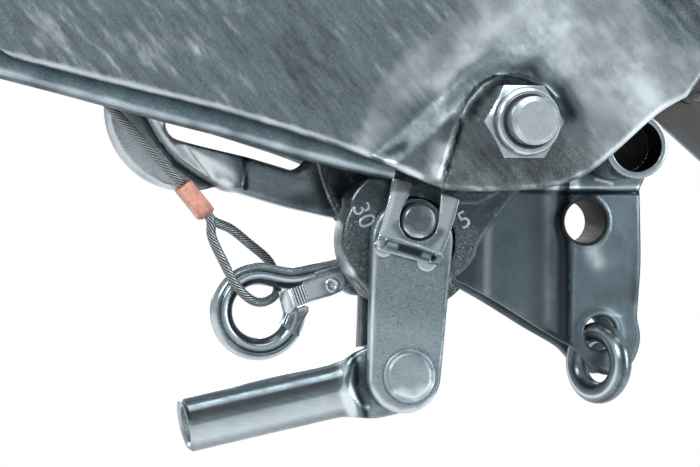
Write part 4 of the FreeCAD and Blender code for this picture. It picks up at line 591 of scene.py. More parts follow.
def zinc(name, dark, mid, light, roughness=(0.3, 0.55), patch=9.0, speck=0.7, specks=0.35,
         depth=0.05, streak=None, streak_depth=0.05, glints=0.3):
    """Zinc on steel: cloudy patches, fine specks and, where rolled or drawn, streaks.

    streak is (width, length ratio, turn) with the turn about Y in degrees. The piece's marks
    paint light and shade into it, and make it smoother and browner.
    """
    p = Paint(name)
    tone, shine, warm = p.mark("tone"), p.mark("shine"), p.mark("warm")
    matt = 1 - shine * 0.9
    clouds = p.band(p.noise(patch, 5, 0.6), 0.35, 0.66)
    fine = p.noise(speck, 3, 0.65)
    sparks = p.noise(speck * 0.55, 2, 0.6, warp=0.4)
    colour = p.blend(clouds, mid, light)
    # Brown from the marks; on some pieces it tints painted shade.
    colour = p.blend(warm, colour, "5F544A")
    colour = p.blend(p.band(fine, 0.5, 0.72) * matt * specks, colour, dark)
    height = fine * 0.6 + p.noise(speck * 4, 2) * 0.4
    if streak:
        width, ratio, turn = streak
        lines = p.noise(width, 3, 0.6, (ratio, 1, 1), (0, turn, 0))
        colour = p.blend(p.band(lines, 0.35, 0.72) * 0.4, colour, dark)
        height = height * (1 - streak_depth) + lines * streak_depth
    colour = p.blend(p.band(sparks, 0.58, 0.74) * matt * glints, colour, "C6D0D5")
    # Painted highlights and painted shade from the piece's marks.
    colour = p.blend(p.band(tone, 0, 1), colour, "D3DCE1")
    colour = p.blend(p.band(tone * -1, 0, 1), colour, "1A242B")
    gloss = p.band(clouds * 0.6 + fine * 0.4, 0.2, 0.8, roughness[1], roughness[0])
    return p.done(Base_Color=colour, Metallic=0.8, Roughness=gloss * (1 - shine * 0.3),
                  Normal=p.bump(height * matt, depth))


def wire_finish():
    """Drawn wire: patches of dirt, and painted shade in the grooves between bright crowns."""
    p = Paint("cable_wire")
    grime = p.band(p.noise(1.6, 3), 0.4, 0.75)
    colour = p.blend(grime * 0.5, "AEB7BA", "788083")
    # Painted shade in the grooves between the wires.
    colour = p.blend(p.band(p.mark("tone") * -1, 0, 1), colour, "23282B")
    return p.done(Base_Color=colour, Metallic=0.7, Roughness=p.band(grime, 0, 1, 0.3, 0.5))


def copper_finish():
    """Pressed copper: pale salmon, dull in patches, with the press's fine scratches and painted
    shade.
    """
    p = Paint("ferrule_copper")
    clouds = p.band(p.noise(3.2, 4), 0.35, 0.65)
    scratch = p.noise(0.3, 3, 0.6, (8, 1, 1), (0, -35, 0))
    colour = p.blend(clouds, "C9917F", "A97464")
    colour = p.blend(p.band(scratch, 0.5, 0.75) * 0.4, colour, "E9C3B4")
    # Painted shade from the piece's marks.
    colour = p.blend(p.band(p.mark("tone") * -1, 0, 1), colour, "6B463B")
    return p.done(Base_Color=colour, Metallic=0.35, Normal=p.bump(scratch, 0.02),
                  Roughness=p.band(clouds, 0, 1, 0.4, 0.52))


def moulded(name, colour, worn, size=0.6, depth=0.04, roughness=(0.55, 0.8)):
    """Rubber or plastic: an even colour, dusty patches and a fine grain."""
    p = Paint(name)
    dust = p.band(p.noise(14.0, 4), 0.45, 0.75)
    fine = p.noise(size, 2)
    return p.done(Base_Color=p.blend(dust * 0.35, colour, worn),
                  Roughness=p.band(fine, 0.3, 0.7, *roughness), Normal=p.bump(fine, depth))


FINISHES = {
    "zinc_sheet": zinc("pressed_zinc", "3E464A", "7E898F", "A0ABB1", (0.34, 0.52), 12, 0.8, 0.4,
                       0.06, (0.9, 14, 42), 0.5),
    "zinc_forging": zinc("forged_zinc", "262F34", "5E6A71", "8390A0", (0.3, 0.5), 7, 0.8, 0.55,
                         0.08),
    "zinc_turned": zinc("turned_zinc", "4C565C", "A0AAB0", "C5CED2", (0.2, 0.34), 6, 0.5, 0.15,
                        0.015),
    "zinc_cast": zinc("cast_zinc", "343C40", "707A80", "959FA5", (0.4, 0.6), 10, 0.8, 0.5, 0.12),
    "wire_rope": wire_finish(),
    "copper": copper_finish(),
    "tube_steel": zinc("drawn_tube", "5A5C5C", "9C9FA0", "B9BDBE", (0.2, 0.32), 16, 0.4, 0.1,
                       0.01, (0.3, 30, 0), 0.5),
    "gaiter_rubber": moulded("gaiter_rubber", "17181A", "3A3B3C", 0.8, 0.05),
    "bush_plastic": moulded("bush_plastic", "BDB59B", "9A9279"),
    "grip_plastic": moulded("grip_plastic", "141516", "303132", 0.5, 0.08, (0.4, 0.6)),
    "damper_black": moulded("damper_paint", "1B1D1F", "34373A", 0.4, 0.01, (0.25, 0.45)),
}
WALL_FINISH = zinc("wall_zinc", "32393B", "556063", "6B787C", (0.36, 0.56), 8, 0.45, 0.7, 0.08,
                   (1.3, 9, 48), 0.4, glints=0.55)
LIP_FINISH = zinc("lip_zinc", "2A3943", "4E6069", "667A82", (0.3, 0.5), 10, 0.45, 0.5, 0.06,
                  (0.5, 6, 40), 0.4, glints=0.4)
DISC_FINISH = zinc("disc_zinc", "141B1F", "39454A", "556267", (0.3, 0.52), 4, 0.7, 0.8, 0.12,
                   glints=0.8)
LINK_FINISH = zinc("link_zinc", "3F4A50", "69767C", "84929A", (0.34, 0.5), 8, 0.55, 0.8, 0.08,
                   (0.35, 8, 0), 0.3, glints=0.6)
SMOOTH_FINISH = zinc("drawn_zinc", "35404A", "6B797F", "88969C", (0.24, 0.36), 10, 0.6, 0.3,
                     0.01, (0.7, 18, 12), 0.3, glints=0.2)
LEVER_FINISH = zinc("lever_zinc", "2C3334", "47535A", "5E6C73", (0.36, 0.5), 16, 0.5, 0.35,
                    0.02, glints=0.3)
NUT_FINISH = zinc("nut_zinc", "4C565C", "869298", "A2AEB3", (0.22, 0.34), 6, 0.5, 0.2, 0.012)
# A near-black finish that paints the shade inside the rod's sleeve and the cross pipe.
PAINTED_SHADE_BLACK = moulded("pipe_shade", "07090A", "14181A", 1.0, 0.02, (0.6, 0.8))


def paint_nodes():
    """Each CAD node that is shown itself takes its slot's finish."""
    slots = {part["node"]: part["material_slot"] for part in frame["record"]["subparts"]}
    for name, node in frame["nodes"].items():
        node.data.materials.clear()
        node.data.materials.append(FINISHES[slots[name]])


# Pressed side walls

BEND_POINT = np.array([389.0, -61.0])
BEND_NORMAL = np.array([0.622, -0.783])
WALL_EDGE_FRONT_PX = [(0, 54), (100, 80), (223, 111), (330, 144)]
WALL_EDGE_LOBE_PX = [(372, 158), (395, 168), (420, 179.5), (440, 187.5), (460, 190.5),
                     (480, 191.5), (530, 190), (560, 185.5), (590, 173), (620, 149), (645, 126),
                     (662, 112), (680, 101), (700, 92)]
DRAWBAR_HOLES = [(x, z) for x in (530.0, 606.0) for z in (-10.0, 34.0)]
DAMPER_PIN_AT = (520.0, 10.0)
NUT_PX = (522, 124)
NUT_LEDGE_PX = [(461, 117), (470, 101), (485, 84), (504, 74), (520, 76), (547, 86), (557, 96)]


def nut_pocket(dx, dz):
    """How deep the sheet is sunk by the nut: a disc's arch above, a crease down its left side.

    It is open below and fades towards the rear. The second result is the raised brow
    outside the arch.
    """
    arch = 18.0 - np.hypot(dx + 2.5, dz + 2.0)
    below = np.minimum(dx + 19.7 - 0.30 * dz, 2.0 - dz)
    edge = np.maximum(arch, below)
    fade = 1 - ramp(dx, 3, 22) * ramp(-dz + 13, 0, 6)
    sunk = ramp(edge, -0.3, 1.5) * fade
    outside = np.clip(-arch, 0, 40)
    brow = np.exp(-(outside / 7.5) ** 1.5) * ramp(dz, -4, 8) * (1 - ramp(edge, -0.6, 0.8))
    brow *= 1 - ramp(dx, 4, 20)
    return sunk, brow


def wall_shift(x, z, pocket):
    """The sheet steps out 4 mm across the sloping bend, with a sunk seat at the nut."""
    s = (x - BEND_POINT[0]) * BEND_NORMAL[0] + (z - BEND_POINT[1]) * BEND_NORMAL[1]
    wide = 5 + 6 * ramp(z, -60, 0)
    y = -4 * ramp(s, -wide, wide * 0.9)
    if pocket:
        dx, dz = x - PIVOT[0], z - PIVOT[1]
        sunk, brow = nut_pocket(dx, dz)
        y = y + 3 * sunk - 1.6 * brow
        crease = bell(dx + 20.6 - 0.30 * dz, 1.3) * ramp(-dz, -1, 3)
        y = y - 0.8 * crease
    return y


def wall_outline():
    """The front end, the long lower edge, the lobe round the pivot and the level tail."""
    front = seen(WALL_EDGE_FRONT_PX, WALL_PLANE)
    lobe = seen(WALL_EDGE_LOBE_PX, LOBE_PLANE)
    low = spline(np.concatenate([front, lobe]), 220)
    start = np.array([[235, 36], [235, -16], [238, -19.6], [243, -21.0]])
    tail = np.array([[505, -23.0], [525, -22.2], [545, -22], [612, -22]])
    rear = np.concatenate([arc(612, -14, 8, -90, 0, 8), arc(612, 38, 8, 0, 90, 8)])
    top = arc(245, 36, 10, 90, 180, 8)
    return np.concatenate([start, low[4:-4], tail, rear, top])


def wall_paint(points):
    """The near wall's rough field, painted highlights on its smooth pressed swath, painted shade
    by the nut.
    """
    cut = [(-30, 44), (0, 51), (100, 77), (223, 107), (330, 139), (395, 164), (420, 176)]
    lobe = [(440, 185), (480, 188.5), (530, 186.5), (560, 182), (590, 169), (620, 145), (660, 109),
            (700, 88)]
    swath = [(478, -20), (448, 35), (408, 62), (380, 92), (366, 142), (395, 166), (425, 178),
             (446, 150), (447, 110), (465, 76), (500, 60), (540, 60), (566, 86), (582, 122),
             (600, 150), (625, 140), (662, 108), (705, 88), (705, 50), (668, 40), (650, 20),
             (640, -20), (478, -20)]
    under = [(456, 152), (470, 148), (560, 150), (584, 152), (566, 172), (530, 184), (480, 186),
             (449, 180), (456, 152)]
    corner = [(645, -20), (652, 10), (672, 34), (710, 44), (710, -20), (645, -20)]
    # Painted highlights along the swath, the nut's ledge and the cut edges; painted shade under
    # the nut, in the rear upper corner, round the pocket and its brow, and by the fold.
    marks = airbrush(
        points, (0.0, 0, 0), (swath, 12, 0.36, 0.85), (under, 7, -0.2, -0.85, 0.25),
        (corner, 8, -0.45, -0.8), ([(528, 0), (480, 42), (442, 84)], 13, 0.26, 0.1),
        ([(560, 50), (620, 70), (640, 90)], 30, 0.22),
        ([(428, 108), (408, 142), (404, 158)], 15, -0.4, -0.2),
        ([(300, 40), (340, 90)], 45, -0.28), ([(30, 20), (180, 50)], 35, 0.1),
        ([(492, 52), (452, 84), (430, 120)], 5, -0.22),
        ([(448, 134), (450, 102), (468, 80), (500, 65), (535, 68), (560, 90), (570, 114)], 9,
         -0.95),
        ([(562, 92), (577, 118), (582, 138)], 8, -0.35, 0, 0.1),
        ([(470, 116), (480, 98), (497, 86)], 7, -0.8, -0.4, 0.6),
        ([(504, 82), (530, 86), (548, 98)], 4, -0.7, 0, 0.3),
        (NUT_LEDGE_PX, 1.8, 1.2, 0.5, -0.3),
        ([(437, 169), (437, 175)], 5, 0.7, 0.4), ([(449, 130), (441, 160)], 5, 0.2, 0.2),
        ([(402, 146), (378, 158)], 7, -0.9, -0.6), ([(432, 120), (420, 165)], 8, -0.25),
        ([(462, 124), (453, 150), (447, 170)], 2.6, -0.8, 0, 0.2),
        (cut, 3, 0.6, 0.9), (lobe, 2.2, 0.45, 0.4, -0.2))
    x, z = points[:, 0], points[:, 2]
    field = np.clip(1 - marks["shine"], 0, 1)
    along = np.stack([(x * 0.66 - z * 0.75) / 9, (x * 0.75 + z * 0.66) / 1.5], -1)
    marks["tone"] += 0.26 * field * rough(along, 1.0, 5) + 0.08 * field * rough(along / 3, 1.0, 6)
    u, v = shown(points)
    u, v = u - NUT_PX[0], v - NUT_PX[1]
    fan = np.stack([np.arctan2(v, u) * 15, np.hypot(v, u) / 40], -1)
    marks["tone"] += 0.35 * np.clip(marks["warm"], 0, 1) * grain(fan, 1.0, 8)
    marks["tone"] += 0.16 * (1 - field) * rough((x, z), 14.0, 12)
    return marks


def side_walls():
    """Both pressed sides; the far one is the near one's mirror image with a plain lobe."""
    holes = [circle(*at, 6.5, 40) for at in DRAWBAR_HOLES]
    holes += [circle(*DAMPER_PIN_AT, 6.1, 36), circle(*PIVOT, 8.1, 40)]
    stay = circle(458.28, -23.72, 5.02, 36)
    outline = wall_outline()

    def pitted(x, z):
        """The unevenness of hot-dip zinc, with runs along the rolling direction."""
        p = np.stack([x, z], -1)
        along = np.stack([x * 0.78 + z * 0.62, (z * 0.78 - x * 0.62) * 0.25], -1)
        return 0.035 * rough(p, 2.0, 3) + 0.03 * rough(along, 3.0, 5)

    plate("side_wall_near", outline, holes, WALL_PLANE, 4, "housing", "zinc_sheet",
          ["side_plate_left"], spacing=1.0, bevel=1.5, finish=WALL_FINISH, paint=wall_paint,
          shift=lambda x, z: wall_shift(x, z, True), front_relief=pitted,
          extra=beside(NUT_LEDGE_PX, LOBE_PLANE))
    plate("side_wall_far", outline, holes[:-1] + [stay, holes[-1]], 44, 4, "housing",
          "zinc_sheet", ["side_plate_right"], spacing=1.6, bevel=1.2, finish=WALL_FINISH,
          shift=lambda x, z: -wall_shift(x, z, False), back_relief=pitted)


LIP_EDGE_PX = [(-20, 72), (0, 77), (100, 104), (167, 122), (223, 136), (279, 152), (350, 171),
               (392, 181)]


def channel():
    """The inner channel: a U section whose lower edges roll inwards and slope to the rear.

    Its far edge lies 9 mm higher. Each point of the section is (Y, height, whether the
    height counts from the lower edge).
    """
    x = np.linspace(247, 390, 110)
    edge = seen(LIP_EDGE_PX, -43.0)
    low = np.interp(x, edge[:, 0], edge[:, 1])
    face, roll, sheet, rise = -43.5, 5.0, 3.0, 9.0
    turn = np.radians(np.linspace(0, 90, 12))
    outer = [(face + roll * (1 - math.sin(t)), roll * (1 - math.cos(t)), 1) for t in turn]
    outer += [(face, height, 1) for height in (6, 7, 8, 9, 11)]
    crown = [(face + 4 * (1 - math.cos(t)), 41 + 4 * math.sin(t), 0)
             for t in np.radians(np.linspace(0, 90, 6))]
    under = [(face + sheet + 1.5 * (1 - math.cos(t)), 40.5 + 1.5 * math.sin(t), 0)
             for t in np.radians(np.linspace(90, 0, 5))]
    bend = roll - sheet
    inner = [(face + roll - bend * math.sin(t), roll - bend * math.cos(t), 1)
             for t in turn[::-1]]
    near, back = outer + crown, under + [(face + sheet, 11, 1)] + inner
    ring = np.concatenate([near, [(-y, z, 2 * f) for y, z, f in near[::-1]],
                           [(-y, z, 2 * f) for y, z, f in back[::-1]], back])
    lower = low[:, None] + rise * (ring[:, 2] > 1.5)
    z = ring[:, 1] + (ring[:, 2] > 0.5) * lower
    y = np.broadcast_to(ring[:, 0], z.shape)
    grid = np.stack([np.broadcast_to(x[:, None], y.shape), y, z], -1)
    height = np.where(ring[:, 2] > 0.5, ring[:, 1], 12)
    # Painted shade on the lip's lowest edge, a painted highlight on its roll and painted shade on
    # the flat above it, under the wall; then random tone.
    tone = np.interp(height, [0, 0.5, 1.3, 2.3, 3.5, 5, 8, 12],
                     [-0.8, 0.0, 0.45, 0.5, 0.05, -0.2, -0.45, -0.45])
    tone = tone + 0.14 * rough(grid[..., [0, 2]], 7.0, 15)
    shine = np.broadcast_to(bell(height - 2, 1.5) * 0.5, tone.shape)
    skin("channel_pressing", grid, "housing", "zinc_sheet", ["inner_channel"], flip=True,
         marks={"tone": tone, "shine": shine}, finish=LIP_FINISH)


# Slotted arm and its quadrant

def arm_shift(x, z):
    """The front lobe lies 14 mm deeper; the bend opens from a point at the lower edge."""
    deep = 341 - 1.01 * (z + 75.8)
    near = np.maximum(342 + 0.45 * (z + 75.2), deep + 3.0)
    return 14 * (1 - ramp(x, deep, near))


ARM_PLANE, QUADRANT_PLANE = -21.0, -13.0
LOBE_CENTRE, LOBE_RADIUS = (328.2, -46.5), 28.2
ARM_GROOVE_PX = [(143, 112), (160, 140), (178, 163), (200, 178), (226, 194)]
ARM_WELD_PX = [(318, 161), (328, 187), (336, 199), (342.6, 206)]


def arm_outline():
    """The lobe's arc, a small notch, the long lower edge, the welded arc and the top."""
    lobe = arc(*LOBE_CENTRE, LOBE_RADIUS, 150, 288, 40)
    notch = np.array([[338.6, -73.4], [340.6, -74.6]])
    end = arc(*PIVOT, 61.0, 212, 178, 20)
    low = np.array([[345, -76.2], [360, -80.4]])
    top = np.array([[350, -38.5], [312, -25.5], [306, -27]])
    return np.concatenate([lobe, notch, low, end, top])


def arm_paint(points):
    """The lobe is a dull even blue-grey; a painted highlight on the fold and painted shade in the
    groove run under the slot.
    """
    lobe = [(105, 105), (150, 100), (320, 150), (300, 180), (226, 200), (170, 180), (120, 150),
            (105, 105)]
    # Painted shade over the body, a painted highlight on the lobe, the fold and the weld's edge;
    # painted shade in the groove, by the weld, and over a thin glint at the bend.
    return airbrush(
        points, (-0.42, 0.35, 0.05), (lobe, 12, 0.55, 0.2),
        ([(112, 112), (135, 160), (165, 185)], 16, 0.75),
        ([(138, 112), (150, 130), (170, 158)], 4.5, 0.45, 0.3),
        (ARM_GROOVE_PX, 3.2, -1.1),
        ([(158, 118), (174, 142), (200, 162), (228, 179)], 8.5, 1.2, 0.5),
        ([(188, 146), (240, 161), (295, 177)], 3.5, -0.45),
        ([(250, 185), (310, 200)], 10, -0.25),
        ([(245.5, 156), (245.5, 188)], 3, -1.2, -0.7),
        ([(312, 158), (322, 185), (330, 205)], 8, -0.5, 0, 0.6),
        (ARM_WELD_PX, 1.3, 1.2, 0.4, -0.5),
        ([(230, 192), (290, 209), (350, 225)], 1.8, 0.6, 0.3),
        ([(190, 134), (311, 167)], 1.5, 0.3))


def slotted_arm():
    """The forging with its slot and groove, the plate behind it and the weld between them."""
    slot = np.concatenate([arc(360.4, -61.6, 6, -106, 74, 20), arc(326.0, -51.7, 6, 74, 254, 20)])
    groove = seen(ARM_GROOVE_PX, -7.0)

    def relief(x, z):
        return (0.04 * rough((x, z), 2.5, 9)
                - 1.1 * bell(distance(x, z, groove), 1.0))
    plate("slotted_arm_forging", arm_outline(), [slot], ARM_PLANE, 8, "housing", "zinc_forging",
          ["slotted_arm"], spacing=0.8, bevel=1.2, shift=arm_shift, front_relief=relief,
          paint=arm_paint, finish=SMOOTH_FINISH,
          extra=beside(ARM_WELD_PX, ARM_PLANE))
    outline = np.concatenate([
        arc(*PIVOT, 19, -62, 95, 30), arc(379.5, -44.9, 14, 97, 190, 16),
        arc(381, -66, 14, 190, 258, 12), arc(388.4, -102, 8.6, 172, 345, 20), [(402, -86)]])
    # The quadrant is painted darker as shade, with painted highlights in two strokes and a patch
    # of painted shade.
    plate("quadrant_plate", outline, [circle(*PIVOT, 11.2, 40)], QUADRANT_PLANE, 4.5, "housing",
          "zinc_sheet", ["quadrant"], spacing=1.5, bevel=0.7, finish=SMOOTH_FINISH,
          paint=brush((-0.2, 0.4, 0), ([(344, 166), (357, 190)], 3.5, 0.8, 0.4),
                      ([(326, 165), (338, 195)], 6, 0.3), ([(364, 170), (372, 180)], 6, -0.5)))
    angle = np.radians(np.linspace(186, 213, 160))
    for number, (radius, y, thick) in enumerate([(61.6, -15.6, 1.9), (60.6, -18.8, 1.5),
                                                 (61.9, -20.4, 1.0)]):
        path = np.stack([PIVOT[0] + radius * np.cos(angle), np.full(160, y),
                         PIVOT[1] + radius * np.sin(angle)], 1)
        ripple = 1 + 0.22 * rough(path, 1.6, 20 + number)

        def section(s, thick=thick, ripple=ripple):
            a = once_round(14)
            close = np.minimum(1, 6 * np.minimum(s, 1 - s) + 0.15)
            return (thick * ripple * close)[:, None, None] * np.stack([np.cos(a), np.sin(a)], -1)
        along_path(f"weld_bead_{number}", path, section, "housing", "zinc_cast",
                   marks={"tone": -0.35, "warm": 0.3})


# Pivot nut and bolt

def about_pivot(radius, y, angle):
    """Rings of points about the pivot's axis, each row at its own Y."""
    x = PIVOT[0] + radius * np.cos(angle)
    return np.stack([x, np.broadcast_to(y, x.shape), PIVOT[1] + radius * np.sin(angle)], -1)


def locknut():
    """A chamfered hexagon, its dished collar and the dark insert.

    The hexagon's radius at an angle is half its width over the cosine of the angle from the
    middle of its side, and the chamfer holds it inside a cone.
    """
    angle = once_round(192)
    flat = 12.0 / np.cos(angle % (math.pi / 3) - math.pi / 6)
    depth = np.concatenate([[0, 0.4], np.linspace(1.5, 9.0, 5), np.linspace(9.4, 10.9, 9)])
    cone = np.where(depth < 0.4, 13.3, 13.9 - 1.73 * np.clip(depth - 9.4, 0, 9))
    collar = np.array([(11.25, 11.2), (11.35, 11.8), (11.4, 13.0), (11.2, 14.4), (10.7, 15.3),
                       (10.0, 15.8), (9.4, 15.9), (8.8, 15.5), (8.4, 14.9), (8.2, 14.0)])
    radius = np.concatenate([np.minimum(flat, cone[:, None]), collar[:, :1] + 0 * flat])
    depth = np.r_[depth, collar[:, 1]]
    seat = NUT_SEAT + 0.02
    # Painted light and shade down the nut and its collar, with one side painted lighter.
    tone = np.interp(depth, [0, 8.8, 9.3, 10.6, 11.2, 12, 14.5, 15.2, 15.9],
                     [-0.3, -0.1, 0.35, 0.0, -0.9, -0.5, 0.3, 1.0, -0.2])
    tone = tone[:, None] + 0.3 * np.cos(angle - 2.6) * (depth < 12)[:, None]
    skin("pivot_locknut", about_pivot(radius, (seat - depth)[:, None], angle), "housing",
         "zinc_turned", ["pivot_nut"], sharp=24, marks={"tone": tone, "shine": 0.6},
         finish=NUT_FINISH)
    turned("locknut_insert", [(8.0, -0.8), (8.0, 0.2), (8.5, 0.5), (9.3, 0.45), (9.7, 0.0),
                              (9.6, -0.8)],
           deep(PIVOT, seat - 15.3), "housing", "grip_plastic", loop=True)


def bolt_end():
    """The bolt's thread, a ridge that climbs one pitch a turn, and its punched end."""
    pitch, start, end = 2.0, -62.0, -71.8
    angle = once_round(96)
    y = np.linspace(start, end, 150)[:, None]
    phase = (y / pitch + angle / FULL_TURN) % 1.0
    ridge = np.clip(1 - np.abs(phase - 0.5) * 2.3, 0, 1)
    point = np.clip((y - end) / 1.5, 0, 1)
    radius = 4.9 + 1.8 * point + 1.0 * ridge * ramp(y, end + 0.3, end + 1.8)
    punch = np.array([(4.5, -0.15), (3.2, -0.2), (2.4, -0.15), (1.5, 0.0), (1.25, 0.5),
                      (0.7, 0.9), (0.05, 1.0)])
    # Painted highlights on the thread's crests, round the end's rim and at the punch's centre;
    # painted shade in the roots, on the end face and in the punch; one side painted lighter.
    shades = np.array([0.5, -1.0, -1.0, -1.0, -1.4, 0.2, 1.2])[:, None]
    tone = [2.2 * ridge - 1.4 + 0.3 * np.cos(angle - 3.4), shades + 0 * angle]
    skin("bolt_thread", np.concatenate([about_pivot(radius, y, angle),
                                        about_pivot(punch[:, :1], end + punch[:, 1:], angle)]),
         "housing", "zinc_turned", sharp=60, flip=True, finish=NUT_FINISH,
         marks={"tone": np.concatenate(tone), "shine": 0.2})


# Numbered swing arm, link plates, pin, clip and rivet

DISC_PLANE, LINK_PLANE, PIN_END = -37.2, -42.0, -44.4
EYE = np.array([397.3, -91.2])
PIN_PX, RIVET_PX = (413, 241), (405.5, 376)
LINK_HEAD, LINK_FOOT = (398.2, -84.7), (395.2, -136.5)
DISC_RIGHT_PX = [(452, 281), (473, 262), (482, 241), (500, 215), (516, 196)]
DISC_LEFT_PX = [(390, 160), (372, 174), (357, 188), (350, 199)]


def disc_paint(points):
    """Dark rough zinc, painted lighter round the rim as a highlight, smooth towards the neck."""
    neck = [(345, 195), (372, 168), (395, 158), (452, 185), (525, 190), (505, 215), (485, 226),
            (445, 205), (400, 190), (372, 198), (345, 195)]
    return airbrush(
        points, (-0.2, 0, 0.08), (neck, 8, -0.2, 0.75, -0.1),
        ([(343, 200), (337, 225), (337, 245), (343, 262), (350, 272)], 5.0, 0.95, 0.3),
        ([(350, 272), (371, 293)], 3.5, 0.5, 0.3),
        ([(452, 281), (473, 262), (482, 241), (500, 215)], 2.6, 0.45, 0.3),
        ([(453, 203), (478, 203), (498, 193)], 2, 0.8, 0.4),
        ([(382, 176), (397, 163)], 3, 0.3, 0.3))


def numbered_arm():
    """The swing arm's round eye with a cut corner, its neck and hub, and raised numerals."""
    right = seen(DISC_RIGHT_PX, DISC_PLANE)
    left = seen(DISC_LEFT_PX, DISC_PLANE)
    hub = arc(*PIVOT, 24, -20, 150, 26)
    rim = arc(*EYE, 23.8, 152, 207, 20)
    low = arc(*EYE, 23.8, 232, 318, 24)
    outline = np.concatenate([spline(right, 30), hub, spline(left, 14), rim, low])
    boss, gap = seen([PIN_PX], DISC_PLANE)[0], 14.3
    rings = np.concatenate([circle(*boss, gap + step, 110)
                            for step in (-0.5, -0.25, 0, 0.25, 0.5)])

    def relief(x, z):
        p = np.stack([x, z], -1)
        ring = bell(np.hypot(*(p - boss).T) - gap, 0.3)
        return 0.07 * rough(p, 1.4, 31) + 0.05 * grain(p, 6, 33) - 1.0 * ring

    def paint(points):
        marks = disc_paint(points)
        away = np.hypot(points[:, 0] - boss[0], points[:, 2] - boss[1])
        # Painted shade in the gap round the pin's boss.
        marks["tone"] -= 1.2 * bell(away - gap, 0.4)
        return marks
    plate("arm_and_disc", outline, [circle(*PIVOT, 11.2, 48)], DISC_PLANE, 12.9, "swing_arm",
          "zinc_forging", ["swing_arm"], spacing=0.8, bevel=1.4, front_relief=relief,
          paint=paint, extra=rings, finish=DISC_FINISH)
    for name, text, centre, turn, tall in (("numeral_30", "30", (364.8, 215.3), -66, 6.0),
                                           ("numeral_5", "5", (463.5, 219.5), 28, 5.8)):
        numerals(name, text, seen([centre], DISC_PLANE)[0], turn, tall)


def numerals(name, text, at, turn, tall):
    """Raised plain figures on the disc's face, turned in degrees from upright."""
    curve = bpy.data.curves.new(name, "FONT")
    curve.body = text
    curve.size = tall * 1.45 * MM
    curve.extrude = 0.4 * MM
    curve.bevel_depth = 0.14 * MM
    curve.offset = -0.14 * MM
    curve.align_x, curve.align_y = "CENTER", "CENTER"
    scratch = bpy.data.objects.new(name + "_curve", curve)
    bpy.context.scene.collection.objects.link(scratch)
    shape = bpy.data.meshes.new_from_object(scratch.evaluated_get(
        bpy.context.evaluated_depsgraph_get()))
    bpy.data.objects.remove(scratch)
    flat = np.empty(len(shape.vertices) * 3)
    shape.vertices.foreach_get("co", flat)
    flat = flat.reshape(-1, 3) / MM
    middle = (flat.max(0) + flat.min(0)) / 2
    c, s = math.cos(math.radians(turn)), math.sin(math.radians(turn))
    x, z = flat[:, 0] - middle[0], flat[:, 1] - middle[1]
    points = np.stack([at[0] + x * c - z * s, DISC_PLANE + 0.3 - flat[:, 2],
                       at[1] + x * s + z * c], 1)
    faces = [list(polygon.vertices) for polygon in shape.polygons]
    bpy.data.meshes.remove(shape)
    make(name, points, faces, "swing_arm", "zinc_turned", sharp=30,
         marks={"tone": 0.3, "shine": 0.3})


def link_outline(plane):
    """A round head about the pin's boss, straight tapering sides and a round foot."""
    head, foot = seen([PIN_PX, RIVET_PX], plane)
    return hull_of([(*head, 14.2), (*foot, 12.5)], 3)


def link_paint(points):
    """Brushed zinc, brownish above and light below, with painted highlights on its edges."""
    top = [(372, 248), (450, 265), (447, 305), (370, 292), (372, 248)]
    low = [(370, 330), (446, 340), (441, 400), (410, 416), (374, 400), (370, 330)]
    fork = [(397, 176), (441, 190), (437, 236), (404, 236), (397, 176)]
    # Painted shade between the clip's prongs, down the right edge and round the rivet; painted
    # highlights on the left and lower edges.
    return airbrush(
        points, (0.04, 0.0, 0.0), (top, 16, -0.12, 0, 0.12), (low, 20, 0.16),
        (fork, 3, -0.5, 0.6, -0.1), ([(376, 250), (371, 330), (369, 382)], 2.4, 0.6, 0.4, -0.1),
        ([(371, 388), (383, 404), (400, 412), (420, 410), (436, 396)], 3, 0.55, 0.4, -0.1),
        ([(447, 262), (441, 385)], 2.2, -0.35),
        ([(411 + 27 * math.cos(t), 376 + 27 * math.sin(t)) for t in np.linspace(0.01, 6.27, 24)]
         + [(411, 403), (411, 403.5)], 1.6, -0.45, 0, 0.1))


